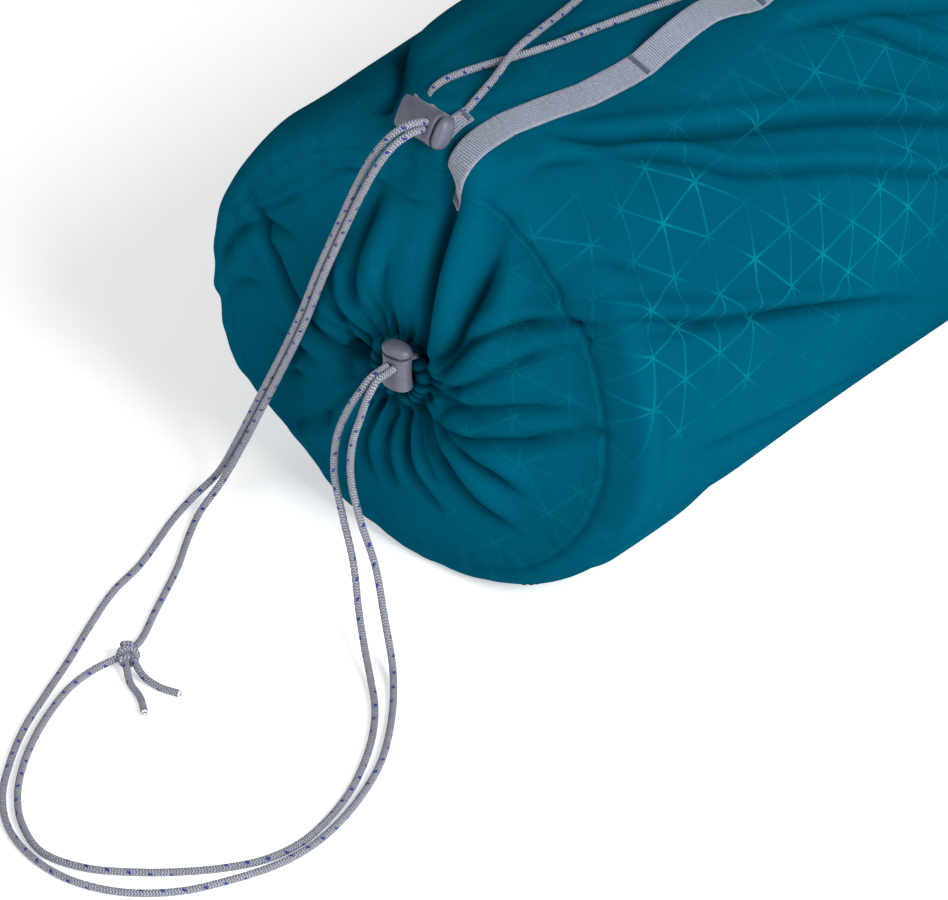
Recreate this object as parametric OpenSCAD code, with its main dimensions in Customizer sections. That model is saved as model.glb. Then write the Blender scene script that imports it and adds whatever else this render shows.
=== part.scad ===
// Stuff sack: a filled drawcord sack lying on its side, mouth towards -Y, with two webbing
// daisy chains, one lacing cord and two spring cord locks. Millimetres, +Z up.

/* [Sack] */
// Outer radius of the filled sack
sack_r = 110; // [100:1:120]
// Length of the side panel between the mouth seam and the base seam
panel_len = 360; // [340:1:420]
// Drawn thickness of the fabric walls
wall = 1.6; // [1.2:0.1:2]
// Height of the sack's axis above the surface that it lies on
axis_z = 104; // [100:1:108]
// Radius of the seams that join the end panels to the side panel
seam_r = 97; // [90:1:99]
// Length over which the side panel rounds down to an end seam
shoulder_len = 20; // [16:1:26]

/* [Mouth] */
// How far the gathered panel bulges in front of the mouth seam
mouth_bulge = 15.5; // [12:0.5:16]
// Radius at which the gathered panel stands furthest forward
crest_r = 40; // [35:1:50]
// How far the gathered panel dips back to the drawcord channel
mouth_dip = 5.5; // [4:0.5:7]
// Radius of the ring that the drawcord makes in its channel
draw_r = 11; // [11:0.5:12]
// Outer radius of the channel's tube of fabric
channel_r = 4.4; // [4:0.1:4.8]
// Inner radius of the channel's tube of fabric
channel_bore_r = 2.4; // [2:0.1:2.8]

/* [Webbing] */
// Width of the webbing tape
web_w = 12.5; // [10:0.5:15]
// Thickness of the webbing tape
web_t = 1.2; // [1:0.1:1.5]
// Angle from the top of the sack to each daisy chain
web_angle = 16; // [14:1:18]
// Distance from the mouth seam to the first tack
tack_first = 95; // [90:1:100]
// Distance between tacks
tack_pitch = 70; // [68:1:72]
// Distance from the mouth seam to the front end of the left daisy chain
left_start = 112; // [106:1:140]
// Height of each daisy chain loop
loop_h = 9; // [8:0.5:10]
// Width of the strap on the base
handle_w = 20; // [16:1:26]
// Height of the strap's arch off the base
handle_h = 16; // [14:1:22]
// Length of the strap's arch between its sewn feet
handle_span = 96; // [90:1:110]
// Length of each sewn foot of the strap
handle_foot = 16; // [12:1:20]

/* [Cord] */
// Diameter of the braided cord
cord_d = 3.1; // [3:0.05:3.2]

/* [Cord lock] */
// Width of the oval lock, along the row of cords
lock_w = 14; // [13.5:0.1:15]
// Thickness of the oval lock, along the cords
lock_t = 9.4; // [9:0.1:10]
// Length of the housing below the middle of the cord hole
lock_low = 10.5; // [10:0.1:12]
// Length of the housing above the middle of the cord hole
lock_high = 4.2; // [4:0.1:4.6]
// Travel left in the button with the cords in the lock
press_travel = 1.2; // [0.8:0.1:1.4]
// Height of the button's domed cap
cap_h = 4.4; // [4:0.1:5]
// Gap between the button's stem and its bore
stem_gap = 0.05; // [0.03:0.01:0.1]

/* [Hidden] */
$fn = 96;

teal = "#00657f";
dark_teal = "#004a61";
grey = "#8c94a6";
plastic = "#70707f";
cord_grey = "#9696a8";

// The lower lock stands furthest forward and the handle furthest back; the origin is midway
front_reach = 24.7;
back_reach = panel_len + handle_h;
ring_y = -(back_reach - front_reach) / 2;

// Seam tapes stand inside the sack behind each seam
tape_t = 1.6;
tape_depth = 7;
side_tape_w = 9;
side_tape_angle = 152;

// Small parts of the webbing
skin_gap = 0.05;
tack_flat = 5;
tack_w = 2.6;
tack_t = 0.6;
loop_count = 3;
loop_steps = 10;
shoulder_steps = 8;

// Where the drawcord leaves its channel, and the row of two cords in a lock
cord_row = 3.3;
exit_x = 5.55;
exit_z = 113.3;
channel_y = -(mouth_bulge - mouth_dip);
slit_w = 7.4;

// The locks' places: the middle of the cord hole
lower_lock_at = [exit_x, -20, exit_z];
upper_lock_at = [5.9, 0.6, 216.6];
upper_lock_turn = [-30, 0, -5];
button_turn = [0, 90, 0];
tail_len = 6.5;
tail_t = 5;

// Cord hole, stem, bore and spring in a lock
hole_w = 7;
hole_h = 3.8;
stem_w = 9.5;
stem_t = 5.5;
stem_low = 4.6;
slot_top = 3.2;
bore_floor = 9;
cap_round_r = 9;
spring_r = 2;
wire_d = 0.5;
spring_turns = 4;
spring_steps = 12;
spring_gap = 0.05;

// The tab that holds the upper lock, in the lock's own directions
tab_left = -20;
tab_right = 12;
tab_h = 13;
tab_foot = 5;
tab_rise = 4.5;
tab_y = 4.9;
tab_slit_w = 5;
tab_slit_h = 8;

// Lacing: [x, distance behind the mouth seam, lift above the fabric]
lacing_rest = 1.8;
lacing_cross_lift = 3.5;
lacing_right = [
    [-12, 30, 0], [-9, 42, 0], [-2, 60, 0], [3, 76, 0], [8, 98, 0], [13, 120, 0], [18, 142, 0], [20.5, 160, 0],
    [23, 176, 0], [30, 188, 0], [37, 200, 0], [41.5, 214, 0], [42.5, 234, 0], [41, 250, 0], [36, 261, 0],
    [28, 270, 0], [16, 276, 0], [0, 278, 0]
];
lacing_left = [
    [-16, 276, 0], [-28, 270, 0], [-36, 261, 0], [-41, 250, 0], [-42.5, 234, 0], [-41.5, 214, 0], [-37, 200, 0],
    [-30, 188, 0], [-23, 176, 0], [-20.5, 160, 0], [-17, 142, 0], [-13, 120, 0], [-9, 98, 0.6],
    [-5, 78, 2.4], [-1.5, 60, lacing_cross_lift], [4, 40, 2], [6.6, 27, 0.6]
];
lacing_in = [
    [5.8, -0.2, 215.2], [6.1, 4.2, 212.7], [4.7, 7.3, 212.5], [2.2, 9.4, 213.4], [-2.4, 12, 214.5], [-8, 16, 215.4],
    [-12, 22, 215.5]
];
lacing_out = [[7.6, 19.3, 215.5], [7.8, 14, 215.3], [7.5, 10.5, 215.5], [6.4, 6.3, 215.1], [6, 1.4, 218]];

// Free cord that runs from the upper lock right round to the lower lock
long_route = [
    [6, 1.4, 218], [5.6, -2.9, 220.5], [3.3, -9.3, 221.4], [-0.3, -14.3, 218.3], [-7.3, -18, 207.4], [-16, -18.2, 190.2],
    [-26, -18, 167], [-37, -18.5, 140], [-48, -18.5, 111], [-60, -18, 84], [-73, -18, 56], [-85, -18, 30],
    [-94, -20, 11], [-98, -31, 2.8], [-95, -46, 1.6], [-84, -78, 1.6], [-80, -98, 1.6], [-72, -120, 1.6],
    [-62, -144, 1.6], [-53, -168, 1.6], [-45, -188, 1.6], [-34, -208, 1.6], [-21, -226, 1.6], [-5, -239, 1.6],
    [15, -246, 1.6], [36, -246, 1.6], [56, -238, 1.6], [72, -223, 1.6], [82, -205, 1.6], [89, -187, 1.6],
    [91.5, -170, 1.6], [90, -152, 1.6], [85, -132, 1.6], [77, -112, 1.6], [66, -94, 1.6], [53, -77, 1.8],
    [41, -64, 5], [29, -55, 17], [17, -47, 33], [5, -42.5, 48], [-1.5, -40.5, 64], [-1, -40, 81], [3.5, -39.5, 97],
    [6.5, -38, 108], [7.2, -33.5, 113], [7.2, -28, 113.3], [7.2, -20, 113.3]
];
// Free cord from the upper lock to the knot
upper_end_route = [
    [5.8, -0.2, 215.2], [5.5, -4.2, 217.5], [4.8, -11.1, 218.4], [2.3, -16.8, 215.4], [-3.1, -20.1, 205.7],
    [-14.1, -19.1, 184.5], [-23, -18.3, 165.3], [-34, -18.8, 138.3], [-45, -18.8, 109.3], [-57, -18.4, 82.3],
    [-70, -18.4, 54.3], [-81.5, -19, 29], [-88.5, -24, 11], [-89, -36, 3], [-82, -51, 1.6], [-72, -68, 1.6],
    [-65, -82, 1.6], [-58, -97, 1.6], [-50, -113, 1.8], [-45, -124, 4.5]
];
// Free cord from the knot to the lower lock
lower_end_route = [
    [-46, -132, 4], [-50, -142, 1.8], [-49.5, -156, 1.6], [-45, -172, 1.6], [-38, -189, 1.6], [-29, -205.5, 1.6],
    [-17, -221.5, 1.6], [-3, -233.5, 1.6], [15, -241, 1.6], [34, -237, 1.6], [52, -225, 1.6], [66, -212, 1.6],
    [76, -200, 1.6], [83.5, -187, 1.6], [87, -171, 1.6], [85.5, -154, 1.6], [80.5, -135, 1.6], [73, -118, 1.6],
    [63, -101, 1.6], [51, -86, 1.8], [39, -75, 3], [27, -65, 7], [16, -56, 15], [6, -48, 30], [-4, -43, 46],
    [-10.5, -40.5, 62], [-10, -39.5, 79], [-5, -39, 94], [1, -38, 106], [3.7, -34, 112.6], [3.9, -28, 113.3],
    [3.9, -20, 113.3]
];
knot_at = [-43.5, -129, 5.6];
knot_r = 5.5;
tail_one = [[-41, -133, 4.5], [-33, -139, 2], [-24, -143, 1.6], [-16, -149, 1.6]];
tail_two = [[-39.5, -130, 5], [-31, -133, 2.6], [-22, -133, 1.6], [-14, -131, 1.6]];

// Frames for a tube: the side direction is carried along the route without twisting
function unit(v) = v / norm(v);
function ahead(route, i) = unit(route[min(i + 1, len(route) - 1)] - route[max(i - 1, 0)]);
function across(route, i) = i == 0
    ? unit(cross(ahead(route, 0), [0.3, 0.5, 0.8]))
    : let (last = across(route, i - 1), way = ahead(route, i)) unit(last - (last * way) * way);
function ring_point(route, i, a, r) =
    let (side = across(route, i), over = cross(ahead(route, i), side))
    route[i] + r * (cos(a) * side + sin(a) * over);
function behind_seam(route) = [for (p = route) p + [0, ring_y, 0]];
function on_sack(route) = [for (p = route) [p.x, p.y, axis_z + sqrt(pow(sack_r + lacing_rest, 2) - p.x * p.x) + p.z]];

// Half an end shoulder, stood off the fabric by off: t goes from the seam to the full radius
function shoulder(t, off) = [
    shoulder_len - (shoulder_len + off) * cos(t),
    seam_r + (sack_r - seam_r + off) * sin(t)
];
function shoulder_front(off) = [for (i = [0 : shoulder_steps]) shoulder(90 * i / shoulder_steps, off)];
function shoulder_back(off) = [
    for (i = [shoulder_steps : -1 : 0]) let (p = shoulder(90 * i / shoulder_steps, off)) [panel_len - p.x, p.y]
];
function reversed(list) = [for (i = [len(list) - 1 : -1 : 0]) list[i]];

// How far forward the gathered panel stands at a radius
function bulge_at(r) = r > crest_r
    ? mouth_bulge * (1 - cos(180 * (seam_r - r) / (seam_r - crest_r))) / 2
    : mouth_bulge - mouth_dip * (1 - cos(180 * (crest_r - r) / (crest_r - draw_r - channel_r))) / 2;

// A tape's underside along a daisy chain, loop by loop. The right chain starts at the mouth seam and
// the left one further back, behind the first loop.
function first_loop(side) = side > 0 ? 0 : 1;
function chain_line(side, off) = concat(
    side > 0 ? shoulder_front(off) : [[left_start, sack_r + off]],
    [for (n = [first_loop(side) : loop_count - 1])
        let (start = tack_first + n * tack_pitch + tack_flat / 2, span = tack_pitch - tack_flat)
        for (i = [0 : loop_steps]) [start + span * i / loop_steps, sack_r + off + loop_h * sin(180 * i / loop_steps)]],
    shoulder_back(off)
);
function handle_line(off) = concat(
    [[off, -handle_span / 2 - handle_foot]],
    [for (i = [0 : loop_steps])
        [off + (handle_h - web_t) * sin(180 * i / loop_steps), handle_span * (i / loop_steps - 0.5)]],
    [[off, handle_span / 2 + handle_foot]]
);

module tube(route, sides = 8) {
    last = len(route) - 1;
    points = [for (i = [0 : last]) for (s = [0 : sides - 1]) ring_point(route, i, 360 * s / sides, cord_d / 2)];
    walls = [for (i = [0 : last - 1]) for (s = [0 : sides - 1])
        let (n = (s + 1) % sides)
        [i * sides + s, i * sides + n, (i + 1) * sides + n, (i + 1) * sides + s]];
    start_cap = [[for (s = [sides - 1 : -1 : 0]) s]];
    end_cap = [[for (s = [0 : sides - 1]) last * sides + s]];
    polyhedron(points, [for (f = concat(walls, start_cap, end_cap)) reversed(f)], convexity = 8);
}

// Turns a profile of [radius, distance behind the seam] about the sack's axis
module about_axis() {
    translate([0, ring_y, axis_z])
        rotate([-90, 0, 0])
            rotate_extrude($fn = 180) children();
}

module side_shell(off) {
    about_axis()
        polygon(concat(
            [[0, off]],
            [for (p = shoulder_front(-off)) [p.y, p.x]],
            [for (p = shoulder_back(-off)) [p.y, p.x]],
            [[0, panel_len - off]]
        ));
}

module above(z) {
    translate([-2 * sack_r, ring_y - panel_len, z])
        cube([4 * sack_r, 3 * panel_len, 4 * sack_r]);
}

module side_panel() {
    color(teal)
        difference() {
            intersection() {
                side_shell(0);
                above(0);
            }
            intersection() {
                side_shell(wall);
                above(wall);
            }
            about_axis()
                translate([0, -panel_len])
                    square([seam_r, 3 * panel_len]);
        }
}

module mouth_panel() {
    steps = 14;
    inner_r = draw_r + channel_r;
    front = [for (i = [0 : steps]) let (r = seam_r - (seam_r - inner_r) * i / steps) [r, -bulge_at(r)]];
    back = [for (p = reversed(front)) p + [0, wall]];
    color(dark_teal)
        about_axis()
            polygon(concat(front, back));
}

module drawcord_channel() {
    color(dark_teal)
        difference() {
            about_axis()
                translate([draw_r, channel_y])
                    difference() {
                        circle(channel_r, $fn = 48);
                        circle(channel_bore_r, $fn = 48);
                    }
            translate([exit_x - slit_w / 2, ring_y + channel_y - 2 * channel_r, exit_z - channel_bore_r])
                cube([slit_w, 2 * channel_r, 2 * channel_bore_r]);
        }
}

module base_panel() {
    color(dark_teal)
        about_axis()
            translate([0, panel_len - wall])
                square([seam_r, wall]);
}

module seam_tape(start) {
    about_axis()
        translate([seam_r - tape_t, start])
            square([tape_t, tape_depth]);
}

module mouth_seam_tape() {
    color(dark_teal) seam_tape(wall);
}

module base_seam_tape() {
    color(dark_teal) seam_tape(panel_len - wall - tape_depth);
}

module side_seam_tape() {
    tape_len = panel_len - 2 * shoulder_len;
    color(dark_teal)
        intersection() {
            about_axis()
                translate([sack_r - wall - tape_t, shoulder_len])
                    square([tape_t, tape_len]);
            translate([0, ring_y, axis_z])
                rotate([0, side_tape_angle, 0])
                    translate([-side_tape_w / 2, 0, 0])
                        cube([side_tape_w, panel_len, 2 * sack_r]);
        }
}

// Puts a child drawn with its radius along Z onto one daisy chain
module on_chain(side) {
    translate([0, ring_y, axis_z])
        rotate([0, side * web_angle, 0]) children();
}

module webbing(side) {
    color(grey)
        on_chain(side)
            translate([-web_w / 2, 0, 0])
                rotate([90, 0, 90])
                    linear_extrude(web_w)
                        polygon(concat(chain_line(side, skin_gap), reversed(chain_line(side, skin_gap + web_t))));
}

module webbing_right() {
    webbing(1);
}

module webbing_left() {
    webbing(-1);
}

module webbing_bartacks() {
    color(plastic)
        for (side = [-1, 1])
            on_chain(side)
                for (n = [first_loop(side) : loop_count])
                    translate([-web_w / 2 + 0.5, tack_first + n * tack_pitch - tack_w / 2, sack_r + skin_gap + web_t])
                        cube([web_w - 1, tack_w, tack_t]);
}

module base_handle() {
    color(grey)
        translate([-handle_w / 2, ring_y + panel_len, axis_z])
            rotate([90, 0, 90])
                linear_extrude(handle_w)
                    polygon(concat(handle_line(0), reversed(handle_line(web_t))));
}

module handle_stitches() {
    color(plastic)
        for (end = [-1, 1])
            for (row = [0.25, 0.75])
                translate([
                    -handle_w / 2 + 2,
                    ring_y + panel_len + web_t,
                    axis_z + end * (handle_span / 2 + handle_foot * row) - tack_w / 2
                ])
                    cube([handle_w - 4, tack_t, tack_w]);
}

module at_upper_lock() {
    translate(upper_lock_at + [0, ring_y, 0])
        rotate(upper_lock_turn) children();
}

module at_lower_lock() {
    translate(lower_lock_at + [0, ring_y, 0]) children();
}

// The tab lies behind the lock, with a sewn foot at each end and a slit for the cords
module lock_tab() {
    line = [
        [tab_left, tab_y + tab_rise], [tab_left + tab_foot, tab_y + tab_rise],
        [tab_left + tab_foot + tab_rise, tab_y], [tab_right - tab_foot - tab_rise, tab_y],
        [tab_right - tab_foot, tab_y + tab_rise], [tab_right, tab_y + tab_rise]
    ];
    color(grey)
        at_upper_lock()
            difference() {
                translate([0, 0, -tab_h / 2])
                    linear_extrude(tab_h)
                        polygon(concat(line, [for (p = reversed(line)) p + [0, web_t]]));
                translate([-tab_slit_w / 2, 0, -tab_slit_h / 2])
                    cube([tab_slit_w, 3 * tab_y, tab_slit_h]);
            }
}

module lock_tab_stitches() {
    color(plastic)
        at_upper_lock()
            for (x = [tab_left + 1.5, tab_right - 1.5 - tack_w])
                translate([x, tab_y + tab_rise - tack_t, 1 - tab_h / 2])
                    cube([tack_w, tack_t, tab_h - 2]);
}

module oval(w, t, h) {
    for (side = [-1, 1])
        translate([side * (w - t) / 2, 0, 0])
            cylinder(d = t, h = h);
    translate([-(w - t) / 2, -t / 2, 0])
        cube([w - t, t, h]);
}

module lock_housing() {
    difference() {
        translate([0, 0, -lock_low])
            oval(lock_w, lock_t, lock_low + lock_high);
        translate([0, 0, -bore_floor])
            oval(stem_w + 2 * stem_gap, stem_t + 2 * stem_gap, 2 * lock_low);
        translate([-hole_w / 2, -lock_t, -hole_h / 2])
            cube([hole_w, 2 * lock_t, hole_h]);
    }
}

module lock_button() {
    cap_z = lock_high + press_travel;
    intersection() {
        translate([0, 0, cap_z])
            oval(lock_w, lock_t, cap_h);
        translate([0, 0, cap_z + cap_h - cap_round_r])
            sphere(cap_round_r);
    }
    difference() {
        translate([0, 0, -stem_low])
            oval(stem_w, stem_t, stem_low + cap_z);
        translate([-hole_w / 2, -lock_t, -hole_h / 2])
            cube([hole_w, 2 * lock_t, hole_h / 2 + slot_top]);
    }
}

module lock_spring() {
    low = -bore_floor + spring_gap + wire_d / 2;
    rise = bore_floor - stem_low - 2 * spring_gap - wire_d;
    count = spring_turns * spring_steps;
    coil = [for (i = [0 : count]) [
        spring_r * cos(360 * i / spring_steps),
        spring_r * sin(360 * i / spring_steps),
        low + rise * i / count
    ]];
    scale(wire_d / cord_d)
        tube([for (p = coil) p * cord_d / wire_d], 6);
}

// The upper lock lies on its side, button to the right, with a tail that lies on the tab
module upper_lock_housing() {
    color(plastic)
        at_upper_lock()
            rotate(button_turn) {
                lock_housing();
                translate([0, 0, -lock_low - tail_len])
                    oval(lock_w, tail_t, tail_len + 1);
            }
}

module upper_lock_button() {
    color(plastic) at_upper_lock() rotate(button_turn) lock_button();
}

module upper_lock_spring() {
    color("silver") at_upper_lock() rotate(button_turn) lock_spring();
}

module lower_lock_housing() {
    color(plastic) at_lower_lock() lock_housing();
}

module lower_lock_button() {
    color(plastic) at_lower_lock() lock_button();
}

module lower_lock_spring() {
    color("silver") at_lower_lock() lock_spring();
}

// The drawcord makes one turn in its channel, then both ends go forward into the lower lock
module draw_cord() {
    turn_steps = 16;
    first = 50;
    last = 358;
    turn = [for (i = [0 : turn_steps])
        let (a = first + (last - first) * i / turn_steps)
        [draw_r * sin(a), channel_y, axis_z + draw_r * cos(a)]];
    right = [[exit_x + cord_row / 2, -20, exit_z], [exit_x + cord_row / 2, channel_y - 2, exit_z]];
    left = [[exit_x - cord_row / 2, channel_y - 2, exit_z], [exit_x - cord_row / 2, -20, exit_z]];
    color(cord_grey) tube(behind_seam(concat(right, turn, left)));
}

module lacing_cord() {
    color(cord_grey)
        tube(behind_seam(concat(lacing_in, on_sack(lacing_right), on_sack(lacing_left), lacing_out)));
}

module free_cord_long() {
    color(cord_grey) tube(behind_seam(long_route));
}

module free_cord_upper_end() {
    color(cord_grey) tube(behind_seam(upper_end_route));
}

module free_cord_lower_end() {
    color(cord_grey) tube(behind_seam(lower_end_route));
}

module cord_knot() {
    color(cord_grey)
        translate(knot_at + [0, ring_y, 0])
            sphere(knot_r);
}

module cord_tails() {
    color(cord_grey) {
        tube(behind_seam(tail_one));
        tube(behind_seam(tail_two));
    }
}

side_panel();
mouth_panel();
drawcord_channel();
base_panel();
mouth_seam_tape();
base_seam_tape();
side_seam_tape();
webbing_right();
webbing_left();
webbing_bartacks();
base_handle();
handle_stitches();
lock_tab();
lock_tab_stitches();
upper_lock_housing();
upper_lock_button();
upper_lock_spring();
lower_lock_housing();
lower_lock_button();
lower_lock_spring();
draw_cord();
lacing_cord();
free_cord_long();
free_cord_upper_end();
free_cord_lower_end();
cord_knot();
cord_tails();
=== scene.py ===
"""Looks of the stuff sack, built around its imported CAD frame. Lengths are in mm until a mesh is made."""
import math

import bpy
import numpy as np
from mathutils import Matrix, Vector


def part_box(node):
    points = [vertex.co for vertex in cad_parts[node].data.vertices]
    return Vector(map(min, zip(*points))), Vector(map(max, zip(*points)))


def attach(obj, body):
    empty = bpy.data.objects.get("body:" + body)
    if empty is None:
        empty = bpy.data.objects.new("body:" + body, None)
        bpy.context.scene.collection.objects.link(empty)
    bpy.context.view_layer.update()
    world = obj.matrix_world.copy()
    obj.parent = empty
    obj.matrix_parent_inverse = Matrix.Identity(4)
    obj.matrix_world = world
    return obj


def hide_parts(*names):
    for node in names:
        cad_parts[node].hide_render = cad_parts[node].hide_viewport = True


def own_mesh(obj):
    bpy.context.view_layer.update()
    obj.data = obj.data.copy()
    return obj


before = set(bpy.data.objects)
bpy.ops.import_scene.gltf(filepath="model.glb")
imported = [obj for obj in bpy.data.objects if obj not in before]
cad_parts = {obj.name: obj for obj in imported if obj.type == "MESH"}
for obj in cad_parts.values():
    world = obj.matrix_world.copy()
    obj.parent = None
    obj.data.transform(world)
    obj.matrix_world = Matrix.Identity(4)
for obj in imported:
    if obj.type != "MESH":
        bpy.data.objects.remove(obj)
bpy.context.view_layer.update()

MM = 0.001
TAU = 2 * math.pi
# The mouth seam's plane and the height of the sack's axis, from the CAD
RING_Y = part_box("base_panel")[1].y / MM - 360.0
AXIS_Z = 104.0
SACK_R, SEAM_R, PANEL_LEN, SHOULDER = 110.0, 97.0, 360.0, 20.0


def smooth(lo, hi, v):
    """0 below lo, 1 above hi, with soft ends."""
    t = np.clip((np.asarray(v, float) - lo) / (hi - lo), 0, 1)
    return t * t * (3 - 2 * t)


def unit(v):
    v = np.asarray(v, float)
    return v / np.maximum(np.linalg.norm(v, axis=-1, keepdims=True), 1e-12)


# ---- camera
AZIMUTH, ELEVATION = math.radians(41), math.radians(36)
CAMERA_DISTANCE = 3500.0
FIELD_WIDTH = 380.7
AIM_RIGHT, AIM_DOWN = 21.7, 38.2
SENSOR = 36.0
cam_right = np.array([math.cos(AZIMUTH), math.sin(AZIMUTH), 0.0])
cam_look = np.array([
    -math.sin(AZIMUTH) * math.cos(ELEVATION), math.cos(AZIMUTH) * math.cos(ELEVATION), -math.sin(ELEVATION)])
cam_up = np.cross(cam_right, cam_look)
cam_target = np.array([0.0, RING_Y, AXIS_Z]) + AIM_RIGHT * cam_right - AIM_DOWN * cam_up
camera_data = bpy.data.cameras.new("camera")
camera_data.sensor_width = SENSOR
camera_data.lens = SENSOR * CAMERA_DISTANCE / FIELD_WIDTH
camera_data.clip_start = 0.1
camera_data.clip_end = 50.0
camera = bpy.data.objects.new("camera", camera_data)
bpy.context.scene.collection.objects.link(camera)
camera.location = (cam_target - CAMERA_DISTANCE * cam_look) * MM
camera.rotation_euler = (math.pi / 2 - ELEVATION, 0.0, AZIMUTH)
bpy.context.scene.camera = camera


# ---- meshes
def add_object(name, points, faces, material, body="sack", uvs=None, marks=None):
    """A mesh object from points in mm. faces is a list of arrays, each of faces of one size; uvs has one pair
    for each point, and marks one number for each point."""
    me = bpy.data.meshes.new(name)
    points = np.asarray(points, float).reshape(-1, 3) * MM
    me.vertices.add(len(points))
    me.vertices.foreach_set("co", points.astype(np.float32).ravel())
    blocks = [np.asarray(f, np.int32) for f in faces if len(f)]
    sizes = np.concatenate([np.full(len(f), f.shape[1]) for f in blocks])
    starts = np.concatenate([[0], np.cumsum(sizes)[:-1]])
    loops = np.concatenate([f.ravel() for f in blocks])
    me.loops.add(len(loops))
    me.loops.foreach_set("vertex_index", loops)
    me.polygons.add(len(sizes))
    me.polygons.foreach_set("loop_start", starts.astype(np.int32))
    me.polygons.foreach_set("use_smooth", np.ones(len(sizes), bool))
    me.update(calc_edges=True)
    if uvs is not None:
        layer = me.uv_layers.new(name="cloth")
        uvs = np.asarray(uvs, np.float32)
        if len(uvs) == len(points):
            uvs = uvs[loops]
        layer.data.foreach_set("uv", uvs.ravel())
    for key, values in (marks or {}).items():
        attribute = me.attributes.new(key, "FLOAT", "POINT")
        attribute.data.foreach_set("value", np.asarray(values, np.float32).ravel())
    me.validate()
    ob = bpy.data.objects.new(name, me)
    bpy.context.scene.collection.objects.link(ob)
    me.materials.append(material)
    if body:
        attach(ob, body)
    return ob


def stands_for(ob, node):
    """The piece takes the place of a CAD node, which is hidden."""
    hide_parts(node)


def grid_faces(rows, cols, wrap_cols=True, wrap_rows=False, flip=False):
    """Quads of a grid of points numbered row by row."""
    r = np.arange(rows if wrap_rows else rows - 1)
    c = np.arange(cols if wrap_cols else cols - 1)
    i, j = np.meshgrid(r, c, indexing="ij")
    i2, j2 = (i + 1) % rows, (j + 1) % cols
    quads = np.stack([i * cols + j, i * cols + j2, i2 * cols + j2, i2 * cols + j], -1).reshape(-1, 4)
    return quads[:, ::-1] if flip else quads


class Batch:
    """Collects several shells into one mesh."""

    def __init__(self):
        self.points, self.faces, self.count = [], [], 0

    def add(self, points, faces):
        points = np.asarray(points, float).reshape(-1, 3)
        self.points.append(points)
        self.faces.extend(np.asarray(f) + self.count for f in faces if len(f))
        self.count += len(points)

    def make(self, name, material, **options):
        return add_object(name, np.concatenate(self.points), self.faces, material, **options)


def run_of(line):
    """How far along a line each of its points is."""
    return np.concatenate([[0], np.cumsum(np.linalg.norm(np.diff(line, axis=0), axis=1))])


def sampled(line, run, at):
    """The points of a line that are at along it."""
    return np.stack([np.interp(at, run, line[:, k]) for k in range(3)], 1)


def spline(points, step):
    """A smooth curve through the points, resampled at an even step."""
    p = np.asarray(points, float)
    ext = np.vstack([2 * p[0] - p[1], p, 2 * p[-1] - p[-2]])
    gap = np.maximum(np.linalg.norm(np.diff(ext, axis=0), axis=1), 1e-9) ** 0.5
    t = np.concatenate([[0], np.cumsum(gap)])
    out = []
    for i in range(1, len(ext) - 2):
        p0, p1, p2, p3 = ext[i - 1:i + 3]
        t0, t1, t2, t3 = t[i - 1:i + 3]
        s = np.linspace(t1, t2, 24, endpoint=False)[:, None]
        a1 = (t1 - s) / (t1 - t0) * p0 + (s - t0) / (t1 - t0) * p1
        a2 = (t2 - s) / (t2 - t1) * p1 + (s - t1) / (t2 - t1) * p2
        a3 = (t3 - s) / (t3 - t2) * p2 + (s - t2) / (t3 - t2) * p3
        b1 = (t2 - s) / (t2 - t0) * a1 + (s - t0) / (t2 - t0) * a2
        b2 = (t3 - s) / (t3 - t1) * a2 + (s - t1) / (t3 - t1) * a3
        out.append((t2 - s) / (t2 - t1) * b1 + (s - t1) / (t2 - t1) * b2)
    dense = np.vstack(out + [p[-1:]])
    run = run_of(dense)
    count = max(int(round(run[-1] / step)), 2)
    return sampled(dense, run, np.linspace(0, run[-1], count + 1))


def carried_frames(path):
    """Ahead, side and over directions along a path, without twisting."""
    ahead = unit(np.gradient(path, axis=0))
    side = np.zeros_like(path)
    start = np.cross(ahead[0], (0.3, 0.5, 0.8))
    side[0] = start / np.linalg.norm(start)
    for i in range(1, len(path)):
        v = side[i - 1] - side[i - 1].dot(ahead[i]) * ahead[i]
        side[i] = v / np.linalg.norm(v)
    return ahead, side, np.cross(ahead, side)


def end_fans(tip, count):
    """Triangles that close both ends of rings of count points. The points tip and tip + 1 follow the rings."""
    k = np.arange(count)
    last = tip - count
    return [np.stack([np.full(count, tip), (k + 1) % count, k], 1),
            np.stack([np.full(count, tip + 1), last + k, last + (k + 1) % count], 1)]


def tube_shell(path, radius, sides):
    """Points and faces of a tube. radius is one number, or a row for each path point."""
    ahead, side, over = carried_frames(path)
    a = np.arange(sides) * TAU / sides
    r = np.broadcast_to(np.asarray(radius, float), (len(path), sides))[..., None]
    ring = np.cos(a)[None, :, None] * side[:, None] + np.sin(a)[None, :, None] * over[:, None]
    points = (path[:, None] + r * ring).reshape(-1, 3)
    tips = [path[0] - 0.35 * r.min() * ahead[0], path[-1] + 0.35 * r.min() * ahead[-1]]
    faces = [grid_faces(len(path), sides, flip=True)] + end_fans(len(points), sides)
    return np.vstack([points, tips]), faces


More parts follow.
